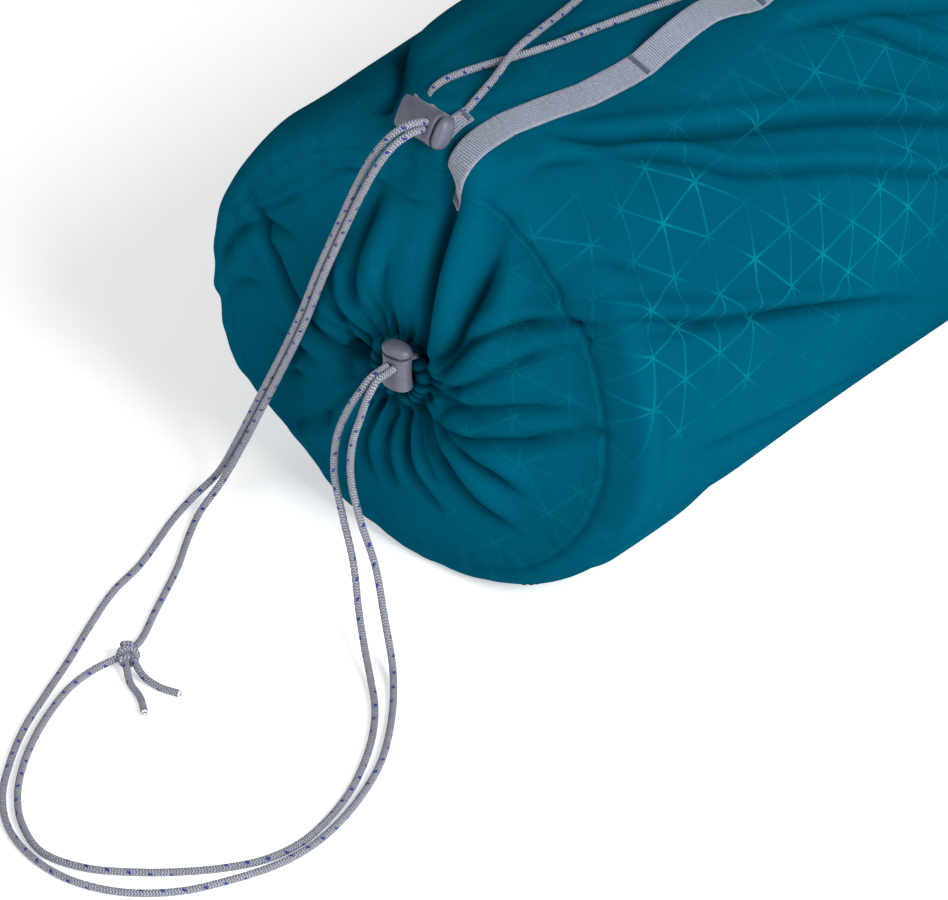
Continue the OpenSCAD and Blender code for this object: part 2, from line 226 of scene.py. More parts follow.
# ---- materials
class Nodes:
    """A short way to build a node material."""

    def __init__(self, name):
        self.material = bpy.data.materials.new(name)
        self.material.use_nodes = True
        self.tree = self.material.node_tree
        self.shader = self.tree.nodes["Principled BSDF"]

    def feed(self, socket, value):
        """Gives a socket a number, a colour or vector, or another node's output."""
        if isinstance(value, tuple):
            value = (*value, 1.0)[:len(socket.default_value)]
        if isinstance(value, (int, float, tuple)):
            socket.default_value = value
        else:
            self.tree.links.new(value, socket)

    def add(self, kind, *values, **settings):
        """A node. values feed its first inputs in order, and in_Name feeds the input of that name."""
        node = self.tree.nodes.new(kind)
        for key, value in settings.items():
            if key.startswith("in_"):
                self.feed(node.inputs[key[3:]], value)
            else:
                setattr(node, key, value)
        for socket, value in zip(node.inputs, values):
            self.feed(socket, value)
        return node

    def math(self, operation, *values):
        return self.add("ShaderNodeMath", *values, operation=operation).outputs[0]

    def spread(self, value, lo, hi, to_lo=0.0, to_hi=1.0):
        """Takes lo to to_lo and hi to to_hi, with soft ends."""
        node = self.add("ShaderNodeMapRange", value, lo, hi, to_lo, to_hi, interpolation_type="SMOOTHSTEP")
        return node.outputs[0]

    def noise(self, scale, detail=2.0, rough=0.5, vector=None, stretch=None):
        if vector is None:
            vector = self.add("ShaderNodeTexCoord").outputs["Object"]
        if stretch:
            vector = self.add("ShaderNodeMapping", in_Vector=vector, in_Scale=stretch).outputs[0]
        node = self.add("ShaderNodeTexNoise", in_Vector=vector, in_Scale=scale, in_Detail=detail, in_Roughness=rough)
        return node.outputs["Fac"]

    def uv(self):
        return self.add("ShaderNodeUVMap", uv_map="cloth").outputs[0]

    def mark(self, name):
        return self.add("ShaderNodeAttribute", attribute_name=name).outputs["Fac"]

    def mix(self, factor, a, b):
        node = self.add("ShaderNodeMix", factor, data_type="RGBA", blend_type="MIX")
        self.feed(node.inputs[6], a)
        self.feed(node.inputs[7], b)
        return node.outputs[2]

    def bump(self, height, distance, strength=1.0, before=None):
        node = self.add("ShaderNodeBump", in_Strength=strength, in_Distance=distance, in_Height=height)
        if before is not None:
            self.feed(node.inputs["Normal"], before)
        return node.outputs[0]

    def finish(self, colour, roughness, normal=None, **sockets):
        sockets.update(Base_Color=colour, Roughness=roughness)
        if normal is not None:
            sockets["Normal"] = normal
        for key, value in sockets.items():
            self.feed(self.shader.inputs[key.replace("_", " ")], value)
        return self.material


def scaled(colour, by):
    return tuple(by * c for c in colour)


NET_PITCH, NET_BEND = 0.0195, 0.026


def cloth_material(name, base, dark, line, pattern):
    """Thin coated nylon: soft tone changes, a printed net of fine lines brightened with painted sheen where it shows,
    painted shade in deep folds, crinkle and weave.
    """
    n = Nodes(name)
    uv = n.uv()
    tone = n.spread(n.noise(9.0, 3.0), 0.32, 0.68)
    colour = n.mix(tone, dark, base)
    # The net: three families of parallel lines, bent by noise, that meet in stars
    bend = n.add("ShaderNodeTexNoise", in_Vector=uv, in_Scale=10.0, in_Detail=0.0).outputs["Color"]
    bent = n.add("ShaderNodeVectorMath", bend, (NET_BEND, NET_BEND, 0.0), uv, operation="MULTIPLY_ADD").outputs[0]
    lines, crowd = None, 0.0
    for turn in (12, 72, 132):
        a = math.radians(turn)
        dot = n.add("ShaderNodeVectorMath", bent, (math.cos(a), math.sin(a), 0.0), operation="DOT_PRODUCT")
        cell = n.math("DIVIDE", dot.outputs["Value"], NET_PITCH)
        near = n.math("ABSOLUTE", n.math("SUBTRACT", n.math("FRACT", n.math("ADD", cell, 0.5)), 0.5))
        family = n.spread(near, 0.012, 0.036, 1.0, 0.0)
        lines = family if lines is None else n.math("MAXIMUM", lines, family)
        crowd = n.math("ADD", n.spread(near, 0.02, 0.30, 1.0, 0.0), crowd)
    # Painted sheen on the real print: a noise mask and each piece's mark make the lines show where the embossed net
    # would catch the light
    shown = n.spread(n.noise(24.0, 1.0, vector=uv), 0.36, 0.60, 0.10, 1.0)
    star = n.spread(crowd, 1.1, 2.6, 0.45, 0.85)
    strength = n.math("MULTIPLY", n.math("MULTIPLY", lines, shown), n.math("MULTIPLY", star, n.mark("print")))
    colour = n.mix(n.math("MULTIPLY", strength, pattern), colour, line)
    # Painted shade: deep folds and other marked places hold less light, so their colour is darkened
    colour = n.mix(n.math("MULTIPLY", n.mark("shade"), 0.80), colour, scaled(dark, 0.10))
    crinkle = n.bump(n.noise(120.0, 4.0, 0.6), 0.0016, 0.35)
    weave = n.bump(n.noise(900.0, 1.0, vector=uv), 0.0001, 0.5, crinkle)
    rough = n.spread(n.noise(60.0, 2.0), 0.3, 0.7, 0.50, 0.62)
    return n.finish(colour, rough, weave, Specular_IOR_Level=0.0)


def ribbed_material(name, base, dark):
    """Woven tape: fine yarns across the ribs, painted shade in the grooves and on the edges, slight tone changes."""
    n = Nodes(name)
    uv = n.uv()
    tone = n.spread(n.noise(40.0, 3.0), 0.3, 0.7)
    colour = n.mix(tone, scaled(base, 0.86), base)
    # Painted shade in the grooves between the ribs and on the edges
    colour = n.mix(n.math("MULTIPLY", n.mark("groove"), 0.9), colour, dark)
    yarn = n.noise(1500.0, 2.0, 0.6, vector=uv, stretch=(1.0, 0.35, 1.0))
    colour = n.mix(n.spread(yarn, 0.40, 0.72, 0.0, 0.30), colour, scaled(base, 1.5))
    normal = n.bump(yarn, 0.0003, 0.6)
    return n.finish(colour, n.spread(yarn, 0.3, 0.7, 0.72, 0.88), normal, Specular_IOR_Level=0.22,
                    Sheen_Weight=0.12, Sheen_Roughness=0.6)


def cord_material(name, base, dark, tracer):
    """Braided cord: pale yarns with painted shade between them and in the gaps between the strands' crossings, and
    blue tracer stitches.
    """
    n = Nodes(name)
    colour = n.mix(n.spread(n.noise(300.0, 2.0), 0.35, 0.65), scaled(base, 0.86), base)
    # Fine chevrons of yarn, with painted shade in the low half between yarns
    rise = n.math("ADD", n.mark("run"), n.math("MULTIPLY", n.mark("vee"), 0.6))
    knit = n.spread(n.math("SINE", n.math("MULTIPLY", rise, TAU)), -0.6, 0.6)
    colour = n.mix(knit, scaled(base, 0.22), colour)
    # Painted shade in the gaps between the strands' crossings
    colour = n.mix(n.math("MULTIPLY", n.math("SUBTRACT", 1.0, n.mark("crossing")), 0.55), colour, dark)
    colour = n.mix(n.spread(n.mark("tracer"), 0.35, 0.75), colour, tracer)
    normal = n.bump(n.noise(2400.0, 2.0), 0.0002, 0.4)
    normal = n.bump(knit, 0.00012, 0.6, normal)
    return n.finish(colour, n.spread(n.noise(700.0), 0.3, 0.7, 0.6, 0.78), normal, Specular_IOR_Level=0.25,
                    Sheen_Weight=0.10, Sheen_Roughness=0.5)


def plastic_material(name, base):
    """Moulded plastic: fine spark texture, rubbed a little smoother and paler in patches."""
    n = Nodes(name)
    worn = n.spread(n.noise(140.0, 3.0), 0.42, 0.70)
    colour = n.mix(worn, base, scaled(base, 1.14))
    normal = n.bump(n.noise(2600.0, 2.0, 0.6), 0.00012, 0.5)
    normal = n.bump(n.noise(420.0, 2.0), 0.00025, 0.25, normal)
    return n.finish(colour, n.spread(worn, 0.0, 1.0, 0.46, 0.34), normal, Specular_IOR_Level=0.5)


def steel_material(name):
    """Drawn spring wire, with a fine grain."""
    n = Nodes(name)
    grain = n.noise(1800.0, 2.0, stretch=(1.0, 1.0, 0.2))
    colour = n.mix(grain, (0.50, 0.50, 0.52), (0.68, 0.68, 0.70))
    return n.finish(colour, n.spread(grain, 0.3, 0.7, 0.22, 0.36), n.bump(grain, 0.0001, 0.3), Metallic=1.0)


def thread_material(name, base):
    """Twisted sewing thread."""
    n = Nodes(name)
    ply = n.noise(2200.0, 2.0)
    colour = n.mix(n.spread(ply, 0.3, 0.7), scaled(base, 0.7), base)
    return n.finish(colour, n.spread(ply, 0.3, 0.7, 0.55, 0.75), n.bump(ply, 0.0002, 0.6), Specular_IOR_Level=0.05)


TEAL, TEAL_DARK, TEAL_LINE = (0.0002, 0.078, 0.130), (0.0002, 0.065, 0.111), (0.001, 0.20, 0.26)
fabric = cloth_material("fabric_teal", TEAL, TEAL_DARK, TEAL_LINE, 0.74)
binding = cloth_material("binding_teal", (0.001, 0.060, 0.10), (0.001, 0.045, 0.075), TEAL_LINE, 0.0)
tape = ribbed_material("tape_grey", (0.268, 0.292, 0.360), (0.036, 0.043, 0.070))
braid = cord_material("cord_grey", (0.40, 0.42, 0.49), (0.12, 0.13, 0.18), (0.012, 0.028, 0.20))
plastic = plastic_material("plastic_grey", (0.088, 0.094, 0.128))
steel = steel_material("spring_wire")
seam_thread = thread_material("thread_teal", (0.0003, 0.052, 0.088))
tack_thread = thread_material("thread_grey", (0.115, 0.13, 0.18))
cut_end = thread_material("cord_core", (0.80, 0.82, 0.86))

# ---- cords
CORD_D, CORD_ON_FLOOR = 3.1, 1.6
BRAID_STEP, BRAID_SIDES, BRAID_PITCH, YARN_PITCH = 0.42, 20, 3.0, 1.2
TRACER_PITCH, TRACER_TURN = 4.2, 0.535
# Places are (x, y, z) from the mouth seam's plane, or (x, y) where the cord lies on the floor
LONG_ROUTE = [
    (6, 1.4, 218), (5.6, -2.9, 220.5), (3.3, -9.3, 221.4), (-0.3, -14.3, 218.3), (-7.3, -18, 207.4),
    (-16, -18.2, 190.2), (-26, -18, 167), (-37, -18.5, 140), (-48, -18.5, 111), (-60, -18, 84), (-73, -18, 56),
    (-85, -18, 30), (-94, -20, 11), (-98, -31, 2.8), (-95, -46), (-84, -78), (-80, -98), (-72, -120), (-62, -144),
    (-53, -168), (-45, -188), (-34, -208), (-21, -226), (-5, -239), (15, -246), (36, -246), (56, -238), (72, -223),
    (82, -205), (89, -187), (91.5, -170), (90, -152), (85, -132), (77, -112), (66, -94), (53, -77, 1.8),
    (41, -64, 5), (29, -55, 17), (17, -47, 33), (5, -42.5, 48), (-1.5, -40.5, 64), (-1, -40, 81), (3.5, -39.5, 97),
    (6.5, -38, 108), (7.2, -33.5, 113), (7.2, -28, 113.3), (7.2, -20, 113.3)]
UPPER_END_ROUTE = [
    (5.8, -0.2, 215.2), (5.5, -4.2, 217.5), (4.8, -11.1, 218.4), (2.3, -16.8, 215.4), (-3.1, -20.1, 205.7),
    (-14.1, -19.1, 184.5), (-23, -18.3, 165.3), (-34, -18.8, 138.3), (-45, -18.8, 109.3), (-57, -18.4, 82.3),
    (-70, -18.4, 54.3), (-81.5, -19, 29), (-88.5, -24, 11), (-89, -36, 3), (-82, -51), (-72, -68), (-65, -82),
    (-58, -97), (-50, -113, 1.8), (-45, -124, 4.5)]
LOWER_END_ROUTE = [
    (-46, -132, 4), (-50, -142, 1.8), (-49.5, -156), (-45, -172), (-38, -189), (-29, -205.5), (-17, -221.5),
    (-3, -233.5), (15, -241), (34, -237), (52, -225), (66, -212), (76, -200), (83.5, -187), (87, -171),
    (85.5, -154), (80.5, -135), (73, -118), (63, -101), (51, -86, 1.8), (39, -75, 3), (27, -65, 7), (16, -56, 15),
    (6, -48, 30), (-4, -43, 46), (-10.5, -40.5, 62), (-10, -39.5, 79), (-5, -39, 94), (1, -38, 106),
    (3.7, -34, 112.6), (3.9, -28, 113.3), (3.9, -20, 113.3)]
TAIL_ONE = [(-41, -133, 4.5), (-33, -139, 2), (-24, -143), (-16, -149)]
TAIL_TWO = [(-39.5, -130, 5), (-31, -133, 2.6), (-22, -133), (-14, -131)]


def behind_seam(route):
    """Takes places given from the mouth seam's plane into the frame."""
    return np.array([(*place, CORD_ON_FLOOR)[:3] for place in route], float) + (0.0, RING_Y, 0.0)


def braided(name, routes, node):
    """Round braid in place of a CAD node: two families of strands cross in small bumps, with a blue stitch
    every few mm."""
    batch = Batch()
    marks = {"crossing": [], "tracer": [], "run": [], "vee": []}
    paths = []
    for route in routes:
        path = spline(route, BRAID_STEP)
        paths.append(path)
        run = np.arange(len(path)) * BRAID_STEP
        a = np.arange(BRAID_SIDES) * TAU / BRAID_SIDES
        v, u = np.meshgrid(run, a, indexing="ij")
        weave = np.maximum(np.cos(5 * u + TAU * v / BRAID_PITCH), np.cos(5 * u - TAU * v / BRAID_PITCH))
        radius = CORD_D / 2 * (0.955 + 0.045 * weave)
        points, faces = tube_shell(path, radius, BRAID_SIDES)
        batch.add(points, faces)
        stitch = np.zeros_like(v)
        for k in range(int(run[-1] / TRACER_PITCH) + 1):
            centre, around = 2.0 + TRACER_PITCH * k, (k * TRACER_TURN) % 1.0 * TAU
            i = slice(max(int((centre - 1.2) / BRAID_STEP), 0), int((centre + 1.2) / BRAID_STEP) + 1)
            da = (u[i] - around + math.pi) % TAU - math.pi
            lean = da * CORD_D / 2 - 0.5 * (v[i] - centre)
            stitch[i] = np.maximum(stitch[i], (1 - smooth(0.6, 1.2, np.abs(v[i] - centre))) * (np.abs(lean) < 0.75))
        # crossing is high on the strands' bumps; the colour gets painted shade where it is low
        for key, values, tips in (("crossing", smooth(-0.2, 0.75, weave), (0.5, 0.5)), ("tracer", stitch, (0, 0)),
                                  ("run", v / YARN_PITCH, (0, run[-1] / YARN_PITCH)),
                                  ("vee", np.abs((5 * u / TAU) % 1.0 - 0.5) * 2, (0, 0))):
            marks[key].append(np.append(values, tips))
    ob = batch.make(name, braid, marks={key: np.concatenate(parts) for key, parts in marks.items()})
    stands_for(ob, node)
    return ob, paths


long_cord, (long_path,) = braided("long_cord", [behind_seam(LONG_ROUTE)], "free_cord_long")
upper_cord, (upper_path,) = braided("upper_end_cord", [behind_seam(UPPER_END_ROUTE)], "free_cord_upper_end")
lower_cord, (lower_path,) = braided("lower_end_cord", [behind_seam(LOWER_END_ROUTE)], "free_cord_lower_end")

# ---- the sack's surface
# A place on the sack is (angle in degrees from the top towards +X, station). The station is the distance in mm
# from the mouth seam: negative towards the middle of the gathered panel, positive along the side, and past
# PANEL_LEN towards the middle of the base.
MOUTH_END = -83.0
BASE_END = PANEL_LEN + SEAM_R - 1.0
CREST_R, BULGE, DIP, DRAW_R, CHANNEL_R = 40.0, 15.5, 5.5, 11.0, 4.4


def bulge_at(r):
    """How far the gathered panel stands out at a distance from its middle."""
    inner = DRAW_R + CHANNEL_R
    out = BULGE * (1 - np.cos(math.pi * (SEAM_R - r) / (SEAM_R - CREST_R))) / 2
    dip = BULGE - DIP * (1 - np.cos(math.pi * (CREST_R - np.minimum(r, CREST_R)) / (CREST_R - inner))) / 2
    return np.where(r > CREST_R, out, dip)


def ring_window(deg, centre, half, fade):
    """1 within half degrees of centre, 0 beyond half + fade."""
    away = np.abs((deg - centre + 180) % 360 - 180)
    return 1 - smooth(half, half + fade, away)


def rest_point(deg, st):
    """The filled sack without its wrinkles."""
    deg, st = np.broadcast_arrays(np.asarray(deg, float), np.asarray(st, float))
    a = np.radians(deg)
    face = np.minimum(st, 0)
    t0 = np.clip(st / SHOULDER, 0, 1) * math.pi / 2
    t1 = np.clip((PANEL_LEN - st) / SHOULDER, 0, 1) * math.pi / 2
    shoulder = np.where(st < PANEL_LEN / 2, np.sin(t0), np.sin(t1))
    r = SEAM_R + (SACK_R - SEAM_R) * shoulder
    r = np.where(st < 0, SEAM_R + st, r)
    r = np.where(st > PANEL_LEN, SEAM_R + PANEL_LEN - st, r)
    y = np.where(st < SHOULDER, SHOULDER - SHOULDER * np.cos(t0), st)
    y = np.where(st > PANEL_LEN - SHOULDER, PANEL_LEN - SHOULDER + SHOULDER * np.cos(t1), y)
    bulge = np.where(st < 0, bulge_at(np.maximum(SEAM_R + face, 8.0)), 0.0)
    # The left of the mouth end stands further forward
    push = 11.0 * ring_window(deg, -72, 30, 46) * smooth(-75, -20, st) * (1 - smooth(6, 48, st))
    y = y - (bulge ** 3 + push ** 3) ** (1 / 3)
    crown = 3.5 * smooth(0, 70, st - PANEL_LEN)
    y = y + np.where(st > PANEL_LEN, crown, 0.0)
    inward = smooth(0, 82, -st)
    x = r * np.sin(a) - 1.5 * inward
    z = AXIS_Z + r * np.cos(a) - 2.0 * inward
    return np.stack([x, y + RING_Y, z], -1)


def surface_normal(deg, st):
    e = 0.5
    du = rest_point(deg + e, st) - rest_point(deg - e, st)
    dv = rest_point(deg, st + e) - rest_point(deg, st - e)
    return unit(np.cross(du, dv))


ANGLES = 440
mouth_stations = np.concatenate([np.arange(MOUTH_END, -50, 0.75), np.arange(-50, 0, 1.0), [0.0]])
side_stations = np.concatenate([np.linspace(0, SHOULDER, 20), np.linspace(SHOULDER, PANEL_LEN - SHOULDER, 172)[1:],
                                np.linspace(PANEL_LEN - SHOULDER, PANEL_LEN, 16)[1:]])
base_stations = np.linspace(PANEL_LEN, BASE_END, 62)
stations = np.concatenate([mouth_stations, side_stations[1:], base_stations[1:]])
degrees = (np.arange(ANGLES) * 360.0 / ANGLES) - 180.0
ST, DEG = np.meshgrid(stations, degrees, indexing="ij")
REST = rest_point(DEG, ST)
NORMAL = surface_normal(DEG, ST)
lift = np.zeros_like(DEG)
shade = np.zeros_like(DEG)


def fold(points, width, depth, ridge=0.5, left=True, ends=(0.2, 0.3), sharp=1.2, dark=None):
    """A crease along places on the sack, with a soft ridge on its left or right, or on both with left=None. Its
    valley gets painted shade, set by dark or else by its depth.
    """
    line = rest_point(*np.array(points, float).T)
    line = spline(line, 3.0)
    reach = 5.0 * width + 2.0
    lo, hi = line.min(0) - reach, line.max(0) + reach
    near = np.all((REST > lo) & (REST < hi), axis=-1)
    p, nrm = REST[near], NORMAL[near]
    best = np.full(len(p), 1e9)
    at = np.zeros(len(p))
    way = np.zeros_like(p)
    off = np.zeros_like(p)
    count = len(line) - 1
    for i in range(count):
        a, b = line[i], line[i + 1]
        ab = b - a
        t = np.clip((p - a) @ ab / (ab @ ab), 0, 1)
        d = p - (a + t[:, None] * ab)
        m = np.einsum("ij,ij->i", d, d)
        better = m < best
        best[better] = m[better]
        at[better] = (i + t[better]) / count
        way[better] = ab
        off[better] = d[better]
    dist = np.sqrt(best)
    side = np.sign(np.einsum("ij,ij->i", np.cross(nrm, unit(way)), off))
    signed = dist * side
    start = smooth(0, max(ends[0], 1e-3), at) if ends[0] > 0 else 1.0
    stop = 1 - smooth(1 - ends[1], 1.0, at) if ends[1] > 0 else 1.0
    over = np.where((at <= 0) | (at >= 1), np.exp(-(dist / width) ** 2), 1.0)
    strength = start * stop * over
    dip = -depth * (0.5 * np.exp(-dist / (0.42 * width)) + 0.5 * np.exp(-(dist / (0.9 * width)) ** sharp))
    if left is None:
        bank = 0.5 * np.exp(-((dist - 2.0 * width) / (1.2 * width)) ** 2)
    else:
        away = signed if left else -signed
        bank = np.exp(-((away - 1.9 * width) / (1.25 * width)) ** 2)
    lift[near] += strength * (dip + ridge * depth * bank)
    hidden = np.clip((depth - 1.6) / 4.8, 0, 1) if dark is None else dark
    shade[near] = np.maximum(shade[near], strength * hidden * np.exp(-(dist / (0.6 * width)) ** 1.3))


def flap(points, width, height, drop, left=True, ends=(0.15, 0.25)):
    """A step: cloth stands up on one side of a line and tucks under on the other."""
    fold(points, width * 0.55, drop, 0.0, left, ends, 1.6)
    fold(points, width, 1e-6, height * 1e6, left, ends, 1.2)
    fold(points, width * 2.4, 1e-6, height * 0.6e6, left, ends, 1.2)


# Gathers that run out from the mouth, some of them over the seam and along the side
fold([(58, -84), (34, -70), (22, -50), (15, -28), (12, -6), (8.5, 9), (6, 20)],
     4.6, 10.5, 0.55, False, (0.05, 0.25), 1.25, 0.95)
fold([(61, -72), (49, -54), (39, -36), (33, -20), (29, -6)], 5.0, 8.0, 0.5, False, (0.1, 0.4), 1.2, 0.95)
fold([(72, -74), (56, -58), (51, -44), (53, -22), (57, 0), (72, 55), (80, 95), (94, 158), (111, 214)],
     3.4, 5.2, 0.7, True, (0.05, 0.35))
fold([(86, -76), (80, -68), (72, -54), (64, -28), (62, 2), (70, 40), (76, 70)], 3.2, 4.2, 0.5, True, (0.08, 0.4))
fold([(55, -8), (58, 6), (62, 20), (67, 38), (73, 60)], 2.6, 3.6, 0.7, True, (0.2, 0.35), 1.2, 0.5)
fold([(108, -74), (86, -50), (82, -28), (82, -6)], 3.4, 4.0, 0.6, False, (0.1, 0.35))
fold([(124, -77), (119, -68), (108, -54), (97, -32), (86, -2), (88, 12)], 3.6, 4.6, 0.5, False, (0.1, 0.35))
fold([(140, -82), (140, -58), (142, -28), (137, -8)], 5.0, 7.0, 0.55, True, (0.04, 0.4))
fold([(122, -70), (119, -48), (123, -22)], 4.2, 5.5, 0.6, True, (0.12, 0.4))
fold([(170, -80), (169, -58), (164, -38), (166, -20)], 3.6, 5.0, 0.6, None, (0.06, 0.4))
fold([(184, -78), (187, -66), (183, -44), (185, -30)], 3.6, 5.0, 0.5, None, (0.06, 0.4))
fold([(205, -78), (200, -52), (194, -20)], 3.4, 4.4, 0.5, None, (0.06, 0.45))
fold([(214, -76), (211, -62), (208, -36), (206, -10), (206, 8)], 3.2, 4.6, 0.5, None, (0.06, 0.35))
fold([(236, -76), (223, -38), (225, -5), (226, 12)], 3.6, 4.6, 0.5, True, (0.06, 0.35))
fold([(238, -72), (243, -30), (241, -8)], 3.0, 3.4, 0.5, False, (0.08, 0.5))
fold([(248, -74), (257, -40), (263, -18)], 3.0, 3.4, 0.5, False, (0.08, 0.5))
fold([(258, -76), (272, -54), (284, -34), (295, -14), (302, 8)], 3.4, 4.6, 0.55, True, (0.08, 0.3))
fold([(270, -78), (303, -58), (316, -46), (324, -34)], 3.2, 3.4, 0.5, False, (0.08, 0.4))
fold([(318, -70), (324, -60), (335, -46), (344, -30), (350, -12)], 4.2, 4.6, 0.4, False, (0.15, 0.35))
fold([(345, -76), (352, -56), (356, -36)], 4.0, 3.0, 0.4, True, (0.15, 0.5))
fold([(95, -76), (92, -56), (90, -34)], 2.4, 2.2, 0.5, None, (0.1, 0.5))
fold([(152, -78), (154, -56), (154, -36)], 2.8, 3.2, 0.5, None, (0.08, 0.5))
# The dark pocket beside the lower lock
fold([(276, -70), (262, -77), (232, -84)], 6.5, 9.0, 0.0, None, (0.25, 0.0), 1.2, 1.3)
# Creases across the upper left of the mouth end
fold([(-72, -2), (-48, -16), (-22, -12), (0, -20), (15, -8)], 1.6, 2.0, 0.6, True, (0.15, 0.3), 1.2, 0.35)
fold([(-88, 4), (-70, -8), (-60, -22), (-52, -38)], 3.4, 3.6, 0.5, False, (0.2, 0.4), 1.2, 0.45)
fold([(-100, 8), (-88, -12), (-84, -28)], 3.0, 3.0, 0.5, True, (0.2, 0.4))
# Folds of the side, from the webbing down towards the base
fold([(15, 28), (23, 44), (28, 58), (38, 99), (49, 153), (64, 214), (74, 262)], 3.6, 4.6, 0.85, True, (0.12, 0.3))
fold([(29, 46), (34, 64), (43, 88), (47, 96), (60, 151), (75, 206), (86, 252)], 2.9, 3.6, 0.8, True, (0.12, 0.3))
fold([(33, 192), (40, 204), (48, 218), (56, 240)], 3.4, 3.4, 0.7, True, (0.25, 0.4))
fold([(26, 150), (32, 190), (42, 235), (50, 280)], 4.0, 3.0, 0.7, True, (0.3, 0.4))
fold([(100, 30), (108, 80), (116, 140), (124, 190)], 5.0, 3.0, 0.6, True, (0.3, 0.4))
fold([(128, 4), (126, 30), (130, 70), (138, 110)], 4.4, 3.2, 0.6, False, (0.2, 0.4))
fold([(22, 8), (25, 30), (33, 52)], 3.4, 2.6, 0.5, True, (0.2, 0.5))
fold([(3, 18), (8, 40), (13, 62), (15, 84)], 3.6, 2.2, 0.5, True, (0.25, 0.4))
fold([(-4, 30), (-2, 60), (0, 90), (4, 130)], 4.4, 2.0, 0.5, False, (0.25, 0.4))
fold([(44, 2), (50, 24), (62, 44)], 3.6, 2.4, 0.5, False, (0.2, 0.5))
fold([(20, 240), (30, 268), (44, 300), (52, 334)], 5.0, 3.2, 0.6, False, (0.25, 0.3))
fold([(60, 200), (70, 250), (78, 300), (84, 345)], 5.5, 3.6, 0.6, False, (0.3, 0.2))
fold([(110, 220), (104, 270), (100, 320), (98, 352)], 5.0, 3.2, 0.6, True, (0.3, 0.15))
# The far side, which lies as loosely
for deg, st, lean, size in ((-50, 120, 26, 4.6), (-66, 60, 30, 4.0), (-80, 150, 24, 4.6), (-98, 70, 20, 3.6),
                            (-112, 180, 18, 4.2), (-60, 210, -22, 4.4), (-88, 250, -24, 4.0), (-124, 110, 14, 3.6),
                            (-34, 240, -20, 3.8), (-130, 250, -16, 3.6)):
    fold([(deg, st), (deg - lean * 0.4, st + 36), (deg - lean * 0.7, st + 70), (deg - lean, st + 108)],
         size, size * 0.85, 0.65, lean > 0, (0.25, 0.35))
# The flap beside the lock's tab
flap([(-11, 10), (-15, 22), (-24, 40), (-33, 58), (-38, 78), (-40, 102), (-38, 125), (-34, 150)], 9.0, 6.5, 6.5,
     False, (0.03, 0.35))

# Fine gathers close to the mouth, puckers along both seams and a slow swell of the whole shell
seed = np.random.default_rng(11)


def waves(count, low, high, along):
    """Sines round the sack that drift with the station, all of random phase."""
    total = np.zeros_like(DEG)
    for _ in range(count):
        k = int(seed.integers(low, high))
        total += seed.uniform(0.5, 1.0) * np.sin(np.radians(k * DEG) + seed.uniform(-1, 1) * ST / along
                                                 + seed.uniform(0, TAU))
    return total / math.sqrt(count)


gather = waves(6, 17, 34, 14.0)
lift += 1.5 * gather * (1 - smooth(-78, -44, ST))
lift += 0.5 * waves(6, 30, 60, 7.0) * np.exp(-(ST / 9.0) ** 2)
lift += 0.55 * waves(6, 24, 52, 9.0) * np.exp(-((ST - PANEL_LEN) / 11.0) ** 2)
lift += 1.1 * waves(5, 2, 6, 60.0) * smooth(0, 40, ST) * (1 - smooth(320, 380, ST))
lift += 0.35 * waves(8, 9, 26, 22.0)
lift += 1.3 * waves(4, 5, 11, 24.0) * ring_window(DEG, -95, 45, 30) * smooth(-30, 0, ST) * (1 - smooth(30, 70, ST))
radial = waves(5, 12, 26, 20.0)
lift += 0.9 * radial * smooth(PANEL_LEN, PANEL_LEN + 12, ST) * (1 - smooth(PANEL_LEN + 20, PANEL_LEN + 60, ST))
# The right of the mouth end turns over late, with a soft corner
corner = ring_window(DEG, 84, 20, 24)
lift += 3.4 * np.exp(-((ST - 15.0) / 5.5) ** 2) * corner
# Painted shade on the band between the seam and the corner
shade = np.maximum(shade, 0.34 * corner * smooth(0, 3, ST) * (1 - smooth(11, 16, ST)))
# Both seams pull in
shows = 0.25 + 0.75 * ring_window(DEG, 95, 62, 24)
lift -= 1.3 * shows * np.exp(-(ST / 1.6) ** 2) + 1.3 * np.exp(-((ST - PANEL_LEN) / 1.8) ** 2)
# Under the webbing and the lacing the cloth stays low
calm = ring_window(DEG, 2, 17, 9) * smooth(8, 26, ST) * (1 - smooth(330, 350, ST))
# Painted shade round the middle of the gathered end, by the drawcord hole
shade = np.maximum(shade, 0.55 * (1 - smooth(-82, -70, ST)))
lift = np.where(lift > 0, lift * (1 - 0.75 * calm), lift * (1 - 0.25 * calm))
lift = np.where(lift > 0, 4.2 * np.tanh(lift / 4.2), lift)
SACK = REST + lift[..., None] * NORMAL
# The underside lies flat on the floor
z = SACK[..., 2]
SACK[..., 2] = 0.5 * (z + np.sqrt(z * z + 3.0))


def sack_at(deg, st, out=0.0):
    """Points on the wrinkled sack, stood off by out, and its directions there."""
    deg, st = np.broadcast_arrays(np.asarray(deg, float), np.asarray(st, float))
    u = ((deg + 180.0) % 360.0) / 360.0 * ANGLES
    i = np.clip(np.searchsorted(stations, st) - 1, 0, len(stations) - 2)
    f = np.clip((st - stations[i]) / (stations[i + 1] - stations[i]), 0, 1)[..., None]
    j = np.floor(u).astype(int) % ANGLES
    g = (u - np.floor(u))[..., None]
    k = (j + 1) % ANGLES
    p = (SACK[i, j] * (1 - g) + SACK[i, k] * g) * (1 - f) + (SACK[i + 1, j] * (1 - g) + SACK[i + 1, k] * g) * f
    return p + out * surface_normal(deg, st)


